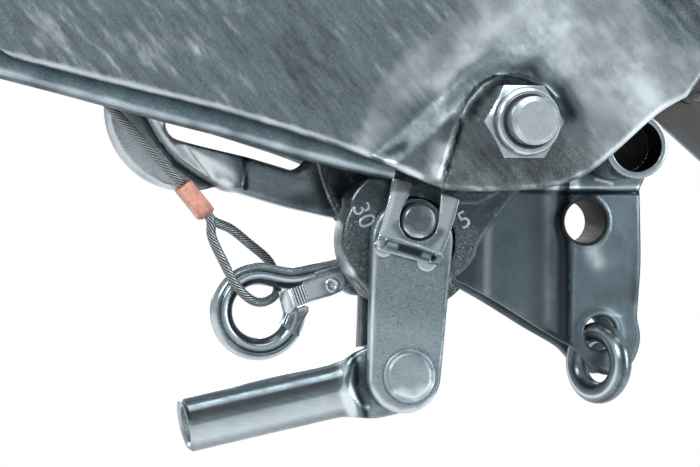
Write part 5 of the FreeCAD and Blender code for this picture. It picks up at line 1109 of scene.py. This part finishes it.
def link_parts():
    """The two link plates, the rivet through their feet and the pin through their heads."""
    def brushed(x, z):
        return (0.02 * rough((x, z * 0.15), 0.7, 41)
                + 0.03 * rough((x, z), 1.8, 43))
    holes = [circle(*LINK_HEAD, 6.0, 40), circle(*LINK_FOOT, 5.0, 36)]
    plate("front_link", link_outline(LINK_PLANE), holes, LINK_PLANE, 4.5, "link", "zinc_sheet",
          ["link_plate_front"], spacing=0.8, bevel=1.2, front_relief=brushed, paint=link_paint,
          finish=LINK_FINISH)
    behind = hull_of([(*LINK_HEAD, 14.2), (*LINK_FOOT, 12.9)], 3)
    # The back plate is painted darker as shade, with a painted highlight along one edge.
    plate("back_link", behind, holes, -24.0, 4.5, "link", "zinc_sheet", ["link_plate_back"],
          spacing=1.5, bevel=0.8, finish=LINK_FINISH,
          paint=brush((-0.55, 0.4, 0), ([(357, 285), (358, 350)], 2.5, 1.0, 0.4)))
    # The rivet is painted lighter, with a painted highlight and a line of painted shade.
    turned("link_rivet", [(0.02, 1.35), (3, 1.32), (6.6, 1.15), (7.4, 0.95), (7.6, 0.55),
                          (8.4, 0.5), (8.9, 0.35), (9.0, 0.0), (5.0, -0.4), (5.0, -22.6),
                          (8.4, -22.7), (8.0, -23.4), (5.5, -24.0), (0.02, -24.1)],
           deep(LINK_FOOT, LINK_PLANE), "link", "zinc_turned", ["handle_rivet"],
           finish=LINK_FINISH,
           paint=brush((0.3, 0.3, 0), ([(395, 392), (415, 398), (432, 385)], 3, 0.5, 0.4),
                       ([(400, 352), (420, 356), (433, 368)], 3, -0.3)))
    # The pin is painted darker as shade, with a painted highlight on its head.
    turned("link_pin", [(0.02, 0.0), (3.6, -0.12), (5.1, -0.45), (5.9, -1.15), (6.05, -2.0),
                        (6.05, -25.0), (8.0, -25.2), (8.0, -26.6), (7.2, -27.2), (0.02, -27.2)],
           deep(LINK_HEAD, PIN_END - 0.55), "swing_arm", "zinc_turned", ["clevis_pin"],
           finish=SMOOTH_FINISH,
           paint=brush((-0.45, 0.5, 0.1), ([(403, 228), (411, 236), (422, 237)], 3.2, 1.1),
                       ([(424, 210), (428, 218)], 4, 0.25)))


CLIP_PLANE = -43.5
CLIP_PRONGS_PX = [(395.0, 177.5), (414.0, 183.5), (409, 196), (402.5, 208), (399.6, 217),
                  (400.5, 227), (405.5, 236), (413.5, 241), (422, 241.8), (430, 238.5),
                  (436, 232), (438.5, 222), (440.5, 205), (441.5, 192), (460, 199.5),
                  (455, 219), (448.4, 239), (441.3, 255), (411, 246.5), (379.5, 234.5),
                  (385, 214), (390, 195)]
CLIP_ROLL_PX = [(379.2, 231.5), (443.0, 251.5), (442.5, 258), (438, 264.5), (431, 264.5),
                (378.5, 250.5), (375.0, 246.5), (375.2, 240.5)]


def pin_clip():
    """The fork clip: prongs that lean back at their tips, a rolled bridge and two feet."""
    top = seen([(428, 188)], CLIP_PLANE)[0][1]

    def lean(x, z):
        """The prongs' tips go back and their feet come forward."""
        return 2.2 * ramp(z, top - 5.5, top + 3.0) ** 2 - 0.5 * ramp(z, top - 14, top - 22)

    # The prongs are painted lighter as a highlight, with painted shade along their inner edges and
    # round the pin.
    plate("clip_prongs", seen(CLIP_PRONGS_PX, CLIP_PLANE), [], CLIP_PLANE, 1.2, "swing_arm",
          "zinc_sheet", ["pin_clip"], spacing=0.6, bevel=0.3, shift=lean, finish=SMOOTH_FINISH,
          paint=brush((0.5, 0.9, 0), ([(397, 179), (391, 205), (383, 230)], 2, 0.4),
                      ([(396, 226), (408, 241), (430, 243), (440, 232)], 4, -0.55),
                      ([(414, 184), (403, 207), (399, 222)], 1.6, -0.5),
                      ([(459, 199), (450, 232), (442, 250)], 2, -0.35),
                      ([(441, 192), (440, 212)], 1.6, 0.3)))
    line = seen([(379, 231), (443, 251)], CLIP_PLANE)
    run = (line[1] - line[0]) / np.linalg.norm(line[1] - line[0])

    def roll(x, z):
        """A round fold across the sheet with a long dent in it."""
        along = (x - line[0][0]) * run[0] + (z - line[0][1]) * run[1]
        down = (x - line[0][0]) * run[1] - (z - line[0][1]) * run[0]
        crown = np.sin(np.clip(down / 5.2, 0, 1) * math.pi) ** 0.6
        slot = ramp(along, 2.5, 4) * (1 - ramp(along, 19.5, 21)) * np.exp(
            -((down - 3.3) / 1.35) ** 4)
        return -1.9 * crown + 1.7 * slot
    # The bridge has painted highlights along its roll and at the dent's ends, and painted shade in
    # the dent.
    plate("clip_roll", seen(CLIP_ROLL_PX, CLIP_PLANE), [], CLIP_PLANE, 1.3, "swing_arm",
          "zinc_sheet", spacing=0.4, bevel=0.4, shift=roll, finish=SMOOTH_FINISH,
          paint=brush((0.15, 0.9, 0), ([(381, 233), (441, 253)], 1.8, 0.8),
                      ([(388, 243.5), (433, 257.5)], 4.4, -1.35, 0, 0.1),
                      ([(389, 244), (396, 246)], 2.5, 1.5), ([(424, 255), (429, 256.5)], 2.5, 1.4),
                      ([(378, 249), (400, 255), (430, 264)], 1.8, 0.35),
                      ([(376, 240), (379, 247)], 2, 0.5)))
    for name, centre in (("clip_foot_left", (383.5, 247)), ("clip_foot_right", (426.5, 261.5))):
        x, z = seen([centre], LINK_PLANE)[0]
        # The feet are painted lighter as a highlight.
        plate(name, circle(x, z, 3.4, 40), [], LINK_PLANE - 0.5, 0.6, "swing_arm", "zinc_sheet",
              spacing=0.6, bevel=0.25, finish=SMOOTH_FINISH, paint=brush((0.6, 0.9, 0)))


# Folding handle

HANDLE_PLANE = -30.9


def folding_handle():
    """A tube whose end is pressed flat into a round eye for the rivet.

    Each section is a rounded box with half height a and half depth b. Along the tube a and b
    are its radius; over the shoulder b falls to the flat eye's and a grows, and a then closes
    on the eye's circle.
    """
    slope = math.radians(12.0)
    run = np.array([math.cos(slope), 0, math.sin(slope)])
    lift = np.array([-math.sin(slope), 0, math.cos(slope)])
    eye = np.array(deep(LINK_FOOT, HANDLE_PLANE))
    length, radius, eye_radius, flat = 75.8, 9.2, 12.2, 6.0
    s = np.concatenate([np.linspace(0, 1.2, 6), np.linspace(1.6, length - 28, 40),
                        np.linspace(length - 27.5, length, 70),
                        length + eye_radius * np.sin(np.linspace(0.03, math.pi / 2, 26))])
    shoulder = ramp(s, length - 22, length - 13)
    a = radius + (eye_radius - radius) * ramp(s, length - 25, length - 10)
    past = np.clip(s - length, 0, eye_radius)
    a = np.where(s > length, np.sqrt(np.maximum(eye_radius ** 2 - past ** 2, 0.01)), a)
    b = radius + (flat - radius) * shoulder
    b = b * np.where(s > length, np.clip(np.sqrt(np.maximum(1 - (past / eye_radius) ** 6, 0.01)),
                                         0.25, 1), 1)
    mouth = 1 - 0.1 * (1 - ramp(s, 0, 1.0))
    power = 2 + 5.2 * shoulder[:, None]
    angle = once_round(72)
    c, w = np.cos(angle)[None], np.sin(angle)[None]
    size = (np.abs(c) ** power + np.abs(w) ** power) ** (-1 / power)
    depth = -(b * mouth)[:, None] * c * size
    height = (a * mouth)[:, None] * w * size
    start = eye - run * length
    grid = start + s[:, None, None] * run + height[..., None] * lift
    grid[..., 1] += depth
    dents = 0.04 * rough(grid, 1.6, 51)
    grid[..., 1] += dents * shoulder[:, None] * np.sign(depth)
    level = w * size
    # Painted bands of reflected light and shade on the side towards the camera, with a brown band
    # among them, a painted highlight and painted shade at the shoulder's fold, and the flat eye
    # painted darker with lighter edges.
    near = np.interp(level, [-1, -0.9, -0.55, 0, 0.22, 0.5, 0.8, 1],
                     [-0.6, 0.1, 0.6, 0.35, -0.45, -0.7, -0.15, 0.55])
    fold = s[:, None] - 2.5 * np.abs(level)
    step = 0.9 * bell(fold - length + 22.5, 1.5) - 1.0 * bell(fold - length + 18.3, 1.6)
    facing = (c > -0.1) * (1 - shoulder[:, None])
    tone = near * facing + step * (c > 0) + shoulder[:, None] * (0.7 * level ** 4 - 0.3)
    warm = 0.6 * facing * bell(level - 0.42, 0.16)
    shine = np.broadcast_to(1 - 0.7 * shoulder[:, None], tone.shape)
    ring = w[0][:, None] * lift - c[0][:, None] * FAR
    bore = np.stack([start + down * run + r * ring
                     for down, r in ((6.4, 0.05), (6.0, 5.6), (4.0, 6.2), (0.7, 6.2), (0.0, 7.1))])
    # The bore is painted lighter.
    plain = np.zeros(bore.shape[:2])
    skin("folding_handle_tube", np.concatenate([bore, grid]), "folding_handle", "zinc_sheet",
         ["handle_tube"], sharp=32, flip=True, finish=SMOOTH_FINISH,
         marks={"tone": np.concatenate([plain + 0.5, tone]),
                "warm": np.concatenate([plain, warm]), "shine": np.concatenate([plain, shine])})


# Snap hook with its gate

HOOK_PLANE = -16.0
HOOK_CENTRE = np.array([349.6, -115.2])
HOOK_PIN, GATE_RIVET = (384, -102), (374.1, -106.4)


def snap_hook():
    """The forged hook: a ring with a groove pressed in its face, its nose and its shank.

    The section's angle runs from the ring's outside, over the near face, to its inside.
    """
    ring = arc(*HOOK_CENTRE, 12.7, 8, -305, 130)
    shank = seen([(291, 278.5), (318, 273), (345, 266), (372, 258)], HOOK_PLANE)
    centre_line = spline(np.concatenate([ring[:-6:5], shank]), 260)
    path = np.stack([centre_line[:, 0], np.full(260, HOOK_PLANE), centre_line[:, 1]], 1)
    angle = once_round(64)
    over = np.degrees(FULL_TURN - angle) % 360

    def section(s):
        wide = 3.75 - 0.6 * ramp(s, 0.74, 0.9)
        deep = 3.7 - 0.8 * ramp(s, 0.72, 0.85)
        ridge = 1 - 0.10 * bell(over - 70, 9) - 0.05 * bell(over - 128, 16)
        closed = np.minimum(1, np.sqrt(np.clip(s / 0.012, 0.02, 1)))
        side = wide[:, None] * np.cos(angle)[None] * ridge
        up = deep[:, None] * np.sin(angle)[None] * ridge
        return np.stack([side, up], -1) * closed[:, None, None]
    # Painted light and shade in bands round the section: highlights on the ridges, shade in the
    # groove and on the inside; then random tone.
    band = np.interp(over, [0, 20, 50, 64, 74, 84, 98, 108, 120, 145, 160, 180, 270, 360],
                     [0.3, 0.7, 0.5, -0.3, -0.9, 0.0, 0.75, 0.1, -0.8, -0.6, 0.2, 0.1, 0, 0.3])
    tone = np.broadcast_to(band, (260, 64)) + 0.12 * grain(path, 9, 61)[:, None]
    along_path("forged_hook", path, section, "housing", "zinc_forging", ["snap_hook"],
               finish=SMOOTH_FINISH, marks={"tone": tone, "shine": 0.7})
    plate("hook_eye", circle(*HOOK_PIN, 8, 48), [circle(*HOOK_PIN, 3.5, 30)], HOOK_PLANE - 2.7,
          5.4, "housing", "zinc_forging", spacing=1.2, bevel=0.8)
    flank = seen([(300, 276), (344, 263.5), (372, 254), (376, 268), (352, 286), (322, 293),
                  (306, 296)], HOOK_PLANE - 3.2)
    # Painted shade in a line under the shank, and a painted highlight beside it.
    plate("hook_flank", flank, [circle(*GATE_RIVET, 2.0, 24)], HOOK_PLANE - 3.2, 5.0,
          "housing", "zinc_forging", spacing=0.8, bevel=0.6, finish=SMOOTH_FINISH,
          paint=brush((0.5, 0.5, 0), ([(300, 280), (344, 266), (372, 257)], 1.6, -0.8),
                      ([(300, 276), (344, 262)], 1.6, 0.5)))
    nose = seen([(286, 318), (288.5, 311.5), (304, 305.3), (308.5, 306.5), (309.6, 311),
                 (303.5, 321), (299.2, 329), (300, 337), (288, 335), (283, 325)], HOOK_PLANE - 3.4)
    # A painted highlight on the nose's top and painted shade below it.
    plate("hook_nose", nose, [], HOOK_PLANE - 3.6, 6.6, "housing", "zinc_forging", spacing=0.6,
          bevel=1.0, finish=SMOOTH_FINISH,
          paint=brush((0.1, 0.6, 0), ([(289, 313), (304, 307), (308, 309)], 2.6, 0.9),
                      ([(290, 322), (300, 318)], 3, -0.5)))


GATE_PX = [(277.6, 292), (282, 290.8), (300, 285), (318, 278.6), (334, 273), (342, 273.5),
           (345, 281), (341, 291), (330, 295.8), (309.5, 301.5), (294, 308), (288, 313.5),
           (283, 313)]


def hook_gate():
    """The leaf gate, grooved for the thumb, its end bent over the hook's nose."""
    plane = -19.9
    outline = seen(GATE_PX, plane)
    x_grip, z_grip = seen([(300, 297.5)], plane)[0]
    pitch = 0.95

    def along(x, z):
        return (x - x_grip) * 0.94 + (z - z_grip) * 0.34

    def ribs(x, z):
        """The thumb's grooves, and the end's bend towards the hook."""
        s = along(x, z)
        return (0.16 * np.cos(s * FULL_TURN / pitch) * (1 - ramp(np.abs(s), 1.9, 2.6))
                + 0.6 * bell(s + 4.2, 1.6))

    def paint(points):
        # The leaf is painted lighter as a highlight; painted shade on its bent end, along its
        # lower edge and round the rivet; painted light and shade across the thumb's grooves.
        marks = airbrush(points, (0.65, 0.8, 0),
                         ([(283, 291), (280, 303), (284, 313)], 1.6, -0.9),
                         ([(288, 291), (286, 311)], 1.6, 0.5),
                         ([(310, 301), (340, 291)], 1.6, -0.5),
                         ([(328, 286), (328.2, 286.2), (328, 286)], 7.5, -0.5))
        s = along(points[:, 0], points[:, 2])
        marks["tone"] += (np.cos(s * FULL_TURN / pitch) - 0.3) * 0.9 * (np.abs(s) < 2.2)
        return marks
    plate("gate_leaf", outline, [circle(*GATE_RIVET, 2.08, 24)], plane - 1.2, 1.2, "gate",
          "zinc_sheet", ["hook_gate"], spacing=0.3, bevel=0.25, front_relief=ribs,
          finish=SMOOTH_FINISH, paint=paint)
    turned("gate_rivet_head", [(0.02, 0.5), (0.9, 0.42), (1.2, 0.75), (1.9, 0.9), (2.5, 0.7),
                               (2.75, 0.1), (2.0, 0.0), (2.0, -6.0), (0.02, -6.1)],
           deep(GATE_RIVET, plane - 1.25), "housing", "zinc_turned", ["gate_rivet"],
           around=40, ease=0.1, marks={"tone": -0.2, "shine": 0.4})


# Breakaway cable

FERRULE_LOW = np.array([329.6, -26.0, -82.8])
FERRULE_UP = np.array([math.cos(math.radians(129.3)), 0, math.sin(math.radians(129.3))])


def stranded(name, route, replaces=(), radius=1.6, lay=15.0, wires=10):
    """A wire rope along a route: its outer wires are rounded lobes on a helix.

    The radius at an angle falls to a groove between two wires, and shade is painted in the groove.
    """
    length = np.linalg.norm(np.diff(np.asarray(route, float), axis=0), axis=1).sum()
    path = spline(route, int(length / 0.22))
    angle = once_round(96)[None]
    twist = np.linspace(0, 1, len(path))[:, None] * length / lay * FULL_TURN
    lobe = np.abs(np.sin((angle - twist) * wires / 2))

    def section(s):
        r = radius * (0.80 + 0.20 * lobe ** 0.6)
        return np.stack([r * np.cos(angle), r * np.sin(angle)], -1)
    # Painted shade in the grooves between the wires.
    along_path(name, path, section, "housing", "wire_rope", replaces, up=(0.3, 1, 0.2), sharp=70,
               marks={"tone": -1.5 * (1 - lobe) ** 0.7})


def cable():
    """The rope's rise to its anchor, the ferrule and the loop through the hook's ring.

    The loop's route is read as (pixel across, Y, pixel down).
    """
    low, up = FERRULE_LOW, FERRULE_UP
    high = low + up * 12.9
    anchor = np.array([281.0, -29.0, -31.0])
    middle = (high + anchor) / 2 + np.array([0.4, 0, -0.5])
    stranded("cable_rise", [high - up * 1.5, middle, anchor], ["breakaway_cable"])
    route = [(212, -26.0, 237), (223, -25.0, 261), (236, -23.6, 285), (250, -21.6, 299),
             (262, -18.6, 302), (273, -15.6, 297), (277, -12.6, 288), (275.5, -9.6, 275),
             (267, -9.4, 259), (249, -13.5, 243.5), (231, -19.0, 229)]
    loop = [(x, y, z) for u, y, v in route for x, z in seen([(u, v)], y)]
    stranded("cable_loop", [low + up * 1.5 + (0.6, -1.7, 0.4), low + (1.2, -1.8, -2.2), *loop,
                            low + (2.6, 1.7, -1.9), low + up * 1.5 + (0.9, 1.7, 0.3)])
    turn = once_round(72)
    across = np.cross(up, FAR)
    s = np.array([0, 0.15, 0.5, 1.2, 3.0, 5, 7, 9, 11.7, 12.4, 12.75, 12.9])
    close = np.array([0.86, 0.93, 0.985, 1, 1, 1, 1, 1, 1, 0.985, 0.93, 0.86])[:, None]
    c, w = np.cos(turn)[None], np.sin(turn)[None]
    size = (np.abs(c) ** 6 + np.abs(w) ** 6) ** (-1 / 6)
    pinch = 1 - 0.05 * bell(s[:, None] - 6.4, 2.6) * np.abs(w) ** 4
    wide, deep = 2.95 * c * size * close, 4.15 * w * size * close * pinch
    grid = (low + s[:, None, None] * up + wide[..., None] * across
            + deep[..., None] * FAR)
    # Painted shade in three lines over the ferrule.
    skin("cable_crimp", grid, "housing", "copper", ["cable_ferrule"], sharp=50, marks=airbrush(
        grid.reshape(-1, 3), (0, 0, 0), ([(200, 219), (212, 211)], 3, -0.7),
        ([(190, 181), (211, 209)], 2, -0.35), ([(174, 189), (187, 179)], 1.2, -0.6)))


# Reversing lever, its pipe and ring

FLANGE_PLANE, FAR_FLANGE_PLANE, LEVER_SHEET = -8.0, 10.5, 3.5
ROD_HOLE, RING_HOLE = (468.2, -84.9), (473.8, -123.5)
LEVER_PX = [(455, 276), (470, 286), (500, 303), (540, 328), (571, 346), (583, 357), (592, 368),
            (606, 375), (622, 374), (634, 364), (641, 350), (643, 335), (640, 318), (641, 300),
            (643.5, 262), (643, 215), (643, 193), (649, 176), (640, 165), (600, 150), (560, 140),
            (520, 130), (480, 135), (455, 160), (440, 200), (442, 240)]


def lever_shift(x, z):
    """The pressed flange: a rounded front edge, a valley by the crease, a tip turned back."""
    crease = 461.8
    front = 0.9 * bell(x - 423, 7.0)
    valley = 1.5 * bell(x - crease + 2.2, 4.2) * (1 - ramp(x, crease, crease + 1))
    face = 0.10 * np.clip(x - crease, 0, 30) - 0.6 * ramp(x, crease - 1.2, crease + 0.4)
    boss = -0.7 * np.exp(-(np.hypot(x - RING_HOLE[0], z - RING_HOLE[1]) / 8.2) ** 6)
    top = 1.6 * ramp(z, -76, -73.5) * ramp(x, crease - 4, crease + 6)
    return front + valley + face + boss + top


def lever_paint(points):
    """The pressed lever's tall bands of painted light and shade, some brown, and its crisp crease.
    """
    edge = [(440, 278), (455, 282), (490, 304), (520, 321), (556, 345)]
    web = [(577, 150), (660, 150), (648, 300), (640, 330), (577, 345), (577, 150)]
    left = [(430, 180), (470, 180), (470, 300), (430, 280), (430, 180)]
    # Painted highlights and painted shade in bands, along the crease, the top fold and the lower
    # edge.
    return airbrush(
        points, (-0.12, 0.45, 0.0), (left, 10, -0.4, 0, 0.1),
        ([(489, 190), (487, 250), (486, 292)], 7, 0.5, 0.4, -0.1),
        ([(510, 195), (508, 300)], 12, -0.05, 0.2),
        ([(541, 200), (541, 330)], 14, -0.4, -0.2, 0.2),
        ([(564, 200), (566, 345)], 9, -0.7, 0, 0.1), ([(553, 195), (553, 340)], 6, -0.5, 0, 0.3),
        ([(574.5, 200), (575, 250), (573, 340)], 1.6, 0.35, -0.2, -0.6),
        (web, 3, 0.12, 0.15, -0.05), ([(585, 235), (598, 262)], 10, 0.4, 0.2),
        ([(600, 300), (640, 290)], 18, -0.3, 0, 0.1), ([(636, 200), (634, 300)], 5, -0.3, 0, 0.1),
        ([(517, 191), (575, 193), (643, 192)], 2.2, -0.75),
        ([(517, 187), (575, 188), (640, 187)], 2, 0.5),
        ([(541, 195), (576, 185)], 8, 0.1), ([(590, 172), (612, 178)], 5, -0.7, 0, 0.1),
        ([(596, 179), (612, 183)], 1.8, 0.9),
        (edge, 3.5, -0.6), ([(453, 285), (490, 307), (556, 349)], 1.6, 0.9, 0.3),
        ([(575, 208), (573, 225), (580, 240)], 2, 0.5),
        ([(585, 320), (600, 313), (622, 316)], 2.2, 0.35),
        ([(596, 365), (615, 372), (632, 362)], 2, 0.4))


def reversing_lever():
    """The pressed lever: two flanges, a web behind, sleeves in its holes and the cross pipe."""
    outline = spline(seen(LEVER_PX, FLANGE_PLANE), 200, closed=True)
    holes = [circle(*ROD_HOLE, 8.0, 60), circle(*RING_HOLE, 6.0, 48), circle(*PIVOT, 11.2, 48)]

    def collar(x, z):
        """The raised rims of the two holes."""
        rod = np.hypot(x - ROD_HOLE[0], z - ROD_HOLE[1])
        ring = np.hypot(x - RING_HOLE[0], z - RING_HOLE[1])
        return (1.0 * (1 - ramp(rod, 8.4, 9.8)) + 0.35 * (1 - ramp(ring, 7.6, 8.6))
                + 0.02 * rough((x, z), 2.0, 71))
    plate("lever_pressing", outline, holes, FLANGE_PLANE, LEVER_SHEET, "reversing_lever",
          "zinc_sheet", ["reversing_lever"], spacing=0.8, bevel=1.0, finish=LEVER_FINISH,
          paint=lever_paint, shift=lever_shift, front_relief=collar,
          extra=np.concatenate([beside([(574.5, 195), (575, 250), (573, 340)], FLANGE_PLANE),
                                beside([(517, 191), (575, 193), (640, 192)], FLANGE_PLANE)]))
    plate("lever_far_flange", outline, holes, FAR_FLANGE_PLANE, LEVER_SHEET, "reversing_lever",
          "zinc_sheet", spacing=1.6, bevel=1.0, finish=LEVER_FINISH)
    # The sleeve is black as painted shade inside the hole.
    turned("rod_sleeve", [(7.4, -22.0), (8.7, -22.0), (8.9, -0.6), (8.6, 0.5), (8.0, 0.8),
                          (7.5, 0.4), (7.4, -0.4)],
           deep(ROD_HOLE, -8.2), "reversing_lever", "zinc_sheet", around=96,
           loop=True, finish=PAINTED_SHADE_BLACK)
    edge = seen([(643.5, 200), (643, 262), (641, 306)], FLANGE_PLANE)
    right = float(edge[:, 0].mean())
    strip = hull_of([(right - 2.6, -76, 1.7), (right - 2.6, -116, 1.7)], 20)
    plate("lever_web", strip, [], -5.5, 17.0, "reversing_lever", "zinc_sheet", spacing=1.2,
          bevel=0.3, finish=LEVER_FINISH)
    tip = (408, 10)
    for name, side in (("lever_fork_near", FLANGE_PLANE), ("lever_fork_far", FAR_FLANGE_PLANE)):
        for name, shape, bores in (
                (name, hull_of([(*PIVOT, 10), (*tip, 5)]), [circle(*PIVOT, 8.2, 40)]),
                (name + "_tip", circle(*tip, 11, 60), [])):
            plate(name, shape, bores, side, LEVER_SHEET, "reversing_lever", "zinc_sheet",
                  spacing=1.5, bevel=0.7)
    turned("lever_hub", [(11.1, -18.4), (15, -18.4), (15, 3.6), (11.1, 3.6)],
           deep(PIVOT, -4.5), "reversing_lever", "zinc_cast", loop=True)
    tube = [(8.7, -44.0), (11.3, -44.0), (11.35, -0.9), (11.1, -0.2), (10.4, 0.0),
            (9.2, 0.0), (8.75, -0.5), (8.7, -1.2)]
    pipe = (479.6, -30.0, -59.0)
    # The pipe's bore is painted dark as shade, its near rim lighter, the rest a little darker.
    turned("cross_pipe", tube, pipe, "reversing_lever", "zinc_sheet",
           ["lever_pipe"], around=96, ease=0.25, loop=True, finish=SMOOTH_FINISH,
           paint=lambda points: {
               "shine": 0.4,
               "tone": np.where(np.hypot(points[:, 0] - pipe[0], points[:, 2] - pipe[2]) < 9.0,
                                -0.9, np.where(points[:, 1] < -29.2, 0.35, -0.3))})
    # A black disc of painted shade deep inside the pipe.
    turned("pipe_plug", [(0.02, 0.0), (8.4, 0.0), (8.6, -0.2), (8.6, -1.0), (0.02, -1.0)],
           (pipe[0], pipe[1] + 13.0, pipe[2]), "reversing_lever", "grip_plastic",
           finish=PAINTED_SHADE_BLACK)


def ring_link():
    """The welded ring through the lever's lower hole: a round bar bent to a circle."""
    turn = math.radians(62)
    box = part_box("ring_link")
    centre = (np.array(box[0]) + np.array(box[1])) / 2 / MM
    a = once_round(160)[:, None]
    b = once_round(48)[None]
    bar = 3.75 * (1 + 0.02 * np.cos(3 * a))
    along = np.array([math.cos(turn), -math.sin(turn), 0])
    side = np.array([math.sin(turn), math.cos(turn), 0])
    radial = 10.5 + bar * np.cos(b)
    grid = (centre + (radial * np.cos(a))[..., None] * along
            + (radial * np.sin(a))[..., None] * UP
            + (bar * np.sin(b))[..., None] * side)
    over = np.degrees(b) + 0 * a
    # Painted highlights and painted shade in bands round the bar.
    tone = (0.8 * bell((over - 285) % 360, 16) - 0.7 * bell(over - 240, 20)
            - 0.6 * bell(over - 330, 16) + 0.6 * bell(over - 205, 14))
    skin("ring_bar", grid, "ring", "zinc_turned", ["ring_link"], loop=True, flip=True,
         finish=SMOOTH_FINISH, marks={"tone": tone, "shine": 0.8})


def rod_bracket():
    """The brake rod's bracket behind the lever and the bright pin through it."""
    outline = hull_of([(512, -27, 5), (517.5, -40, 6.4), (557.5, -73.5, 6.4), (572, -62, 6.4),
                       (535, -25.5, 4)])
    pin, rod_hole = (528, -38.5), (557.5, -63.5)
    # The bracket is painted darker and browner as shade, with a band of painted light along its
    # flange.
    plate("bracket_sheet", outline, [circle(*pin, 2.52, 36), circle(*rod_hole, 4.5, 36)],
          52, 4, "housing", "zinc_sheet", ["rod_bracket"], spacing=1.0, bevel=0.6,
          finish=LEVER_FINISH,
          paint=brush((-0.3, 0.2, 0.7), ([(674, 134), (705, 163)], 7, 0.35, 0.4, -0.5),
                      ([(662, 128), (705, 171)], 2, 0.4, 0, -0.2)))
    turned("bracket_rivet", [(0.02, -33.0), (2.45, -33.0), (2.5, -32.5), (2.5, 0.0), (2.3, 0.4),
                             (0.02, 0.5)],
           deep(pin, 24.6), "housing", "zinc_turned", around=48,
           marks={"tone": 0.2, "shine": 0.8})


# Gaiter

def gaiter():
    """Eight soft folds between a cuff at each end."""
    x = np.linspace(116, 245, 260)
    share = ramp(x, 121, 125) * (1 - ramp(x, 236, 240))
    fold = 0.5 - 0.5 * np.cos((x - 123) / (238 - 123) * 8 * FULL_TURN)
    outside = 32.3 + share * (-1.3 + 8.0 * fold ** 0.8) - 0.3
    end = np.minimum(x - 116, 245 - x)
    outside = outside - 0.8 * np.exp(-end / 0.5)
    profile = np.concatenate([np.stack([outside, x], 1),
                              np.stack([outside - 1.9, x], 1)[::-1]])
    profile[:, 1] = np.clip(profile[:, 1], 116.05, 244.95)
    piece = turned("gaiter_folds", profile, (0, 0, TUBE_HEIGHT), "housing", "gaiter_rubber",
                   ["gaiter"], axis=(1, 0, 0), around=96, ease=0, loop=True, sharp=60)
    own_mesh(piece)


# Room, camera and lamps

def room():
    """White paper below and a dull dome above; the camera sees both as plain white."""
    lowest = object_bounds()[0][2]
    bpy.ops.mesh.primitive_plane_add(size=8, location=(0.3, 0, lowest - 0.30))
    floor = bpy.context.object
    floor.name = "floor"
    paper = Paint("white_paper")
    matt = paper.node("ShaderNodeBsdfDiffuse", Color=(0.9, 0.9, 0.9, 1))
    glow = paper.node("ShaderNodeEmission", Color="FFFFFF", Strength=1.0)
    floor.data.materials.append(paper.output(
        paper.node("ShaderNodeMixShader", paper.direct(1.0) * 0.85, matt, glow)))
    world = bpy.data.worlds.new("studio")
    bpy.context.scene.world = world
    sky = Paint("studio", world)
    height = sky.node("ShaderNodeSeparateXYZ",
                      sky.node("ShaderNodeTexCoord", out="Generated"), out="Z")
    dome = sky.node("ShaderNodeValToRGB", sky.band(height, -1, 1), stops=[
        (0.0, (0.95, 0.97, 1.0)), (0.42, (0.55, 0.60, 0.64)), (0.52, (0.10, 0.13, 0.15)),
        (0.68, (0.16, 0.20, 0.23)), (1.0, (0.55, 0.6, 0.64))])
    both = sky.blend(sky.direct(0.3), dome, "FFFFFF")
    sky.output(sky.node("ShaderNodeBackground", Color=both, Strength=1.0),
               "ShaderNodeOutputWorld")
    lamp("key", (-0.55, -1.5, 0.75), 0.8, 0.5, 26, (1.0, 0.99, 0.97))
    lamp("overhead", (0.35, -0.5, 1.3), 1.3, 0.8, 20, (0.94, 0.97, 1.0))
    lamp("side", (1.6, -0.9, 0.15), 0.5, 1.0, 14, (0.95, 0.98, 1.0))
    lamp("behind", (0.2, 1.6, 0.5), 1.2, 0.8, 18, (1, 1, 1))


def lamp(name, at, width, height, power, colour):
    """A soft box that faces the coupling's pivot."""
    light = bpy.data.lights.new(name, "AREA")
    light.shape = "RECTANGLE"
    light.size, light.size_y = width, height
    light.energy = power
    light.color = colour
    holder = bpy.data.objects.new(name, light)
    bpy.context.scene.collection.objects.link(holder)
    holder.location = at
    aim = Vector((0.38, 0, -0.08)) - Vector(at)
    holder.rotation_euler = aim.to_track_quat("-Z", "Y").to_euler()


def camera():
    """The photograph's camera: as long a lens as gives it its scale in pixels."""
    data = bpy.data.cameras.new("photograph")
    data.sensor_width = 36
    data.lens = PIXELS_PER_SLOPE * 36 / IMAGE_WIDTH
    data.clip_start, data.clip_end = 0.05, 50
    eye = bpy.data.objects.new("photograph", data)
    bpy.context.scene.collection.objects.link(eye)
    eye.location = Vector(CAMERA_AT * MM)
    eye.rotation_euler = Vector(VIEW_DIRECTION).to_track_quat("-Z", "Y").to_euler()
    bpy.context.scene.camera = eye
    bpy.context.scene.view_settings.view_transform = "Standard"


side_walls()
channel()
slotted_arm()
locknut()
bolt_end()
numbered_arm()
link_parts()
pin_clip()
folding_handle()
snap_hook()
hook_gate()
cable()
reversing_lever()
ring_link()
rod_bracket()
gaiter()
paint_nodes()
room()
camera()
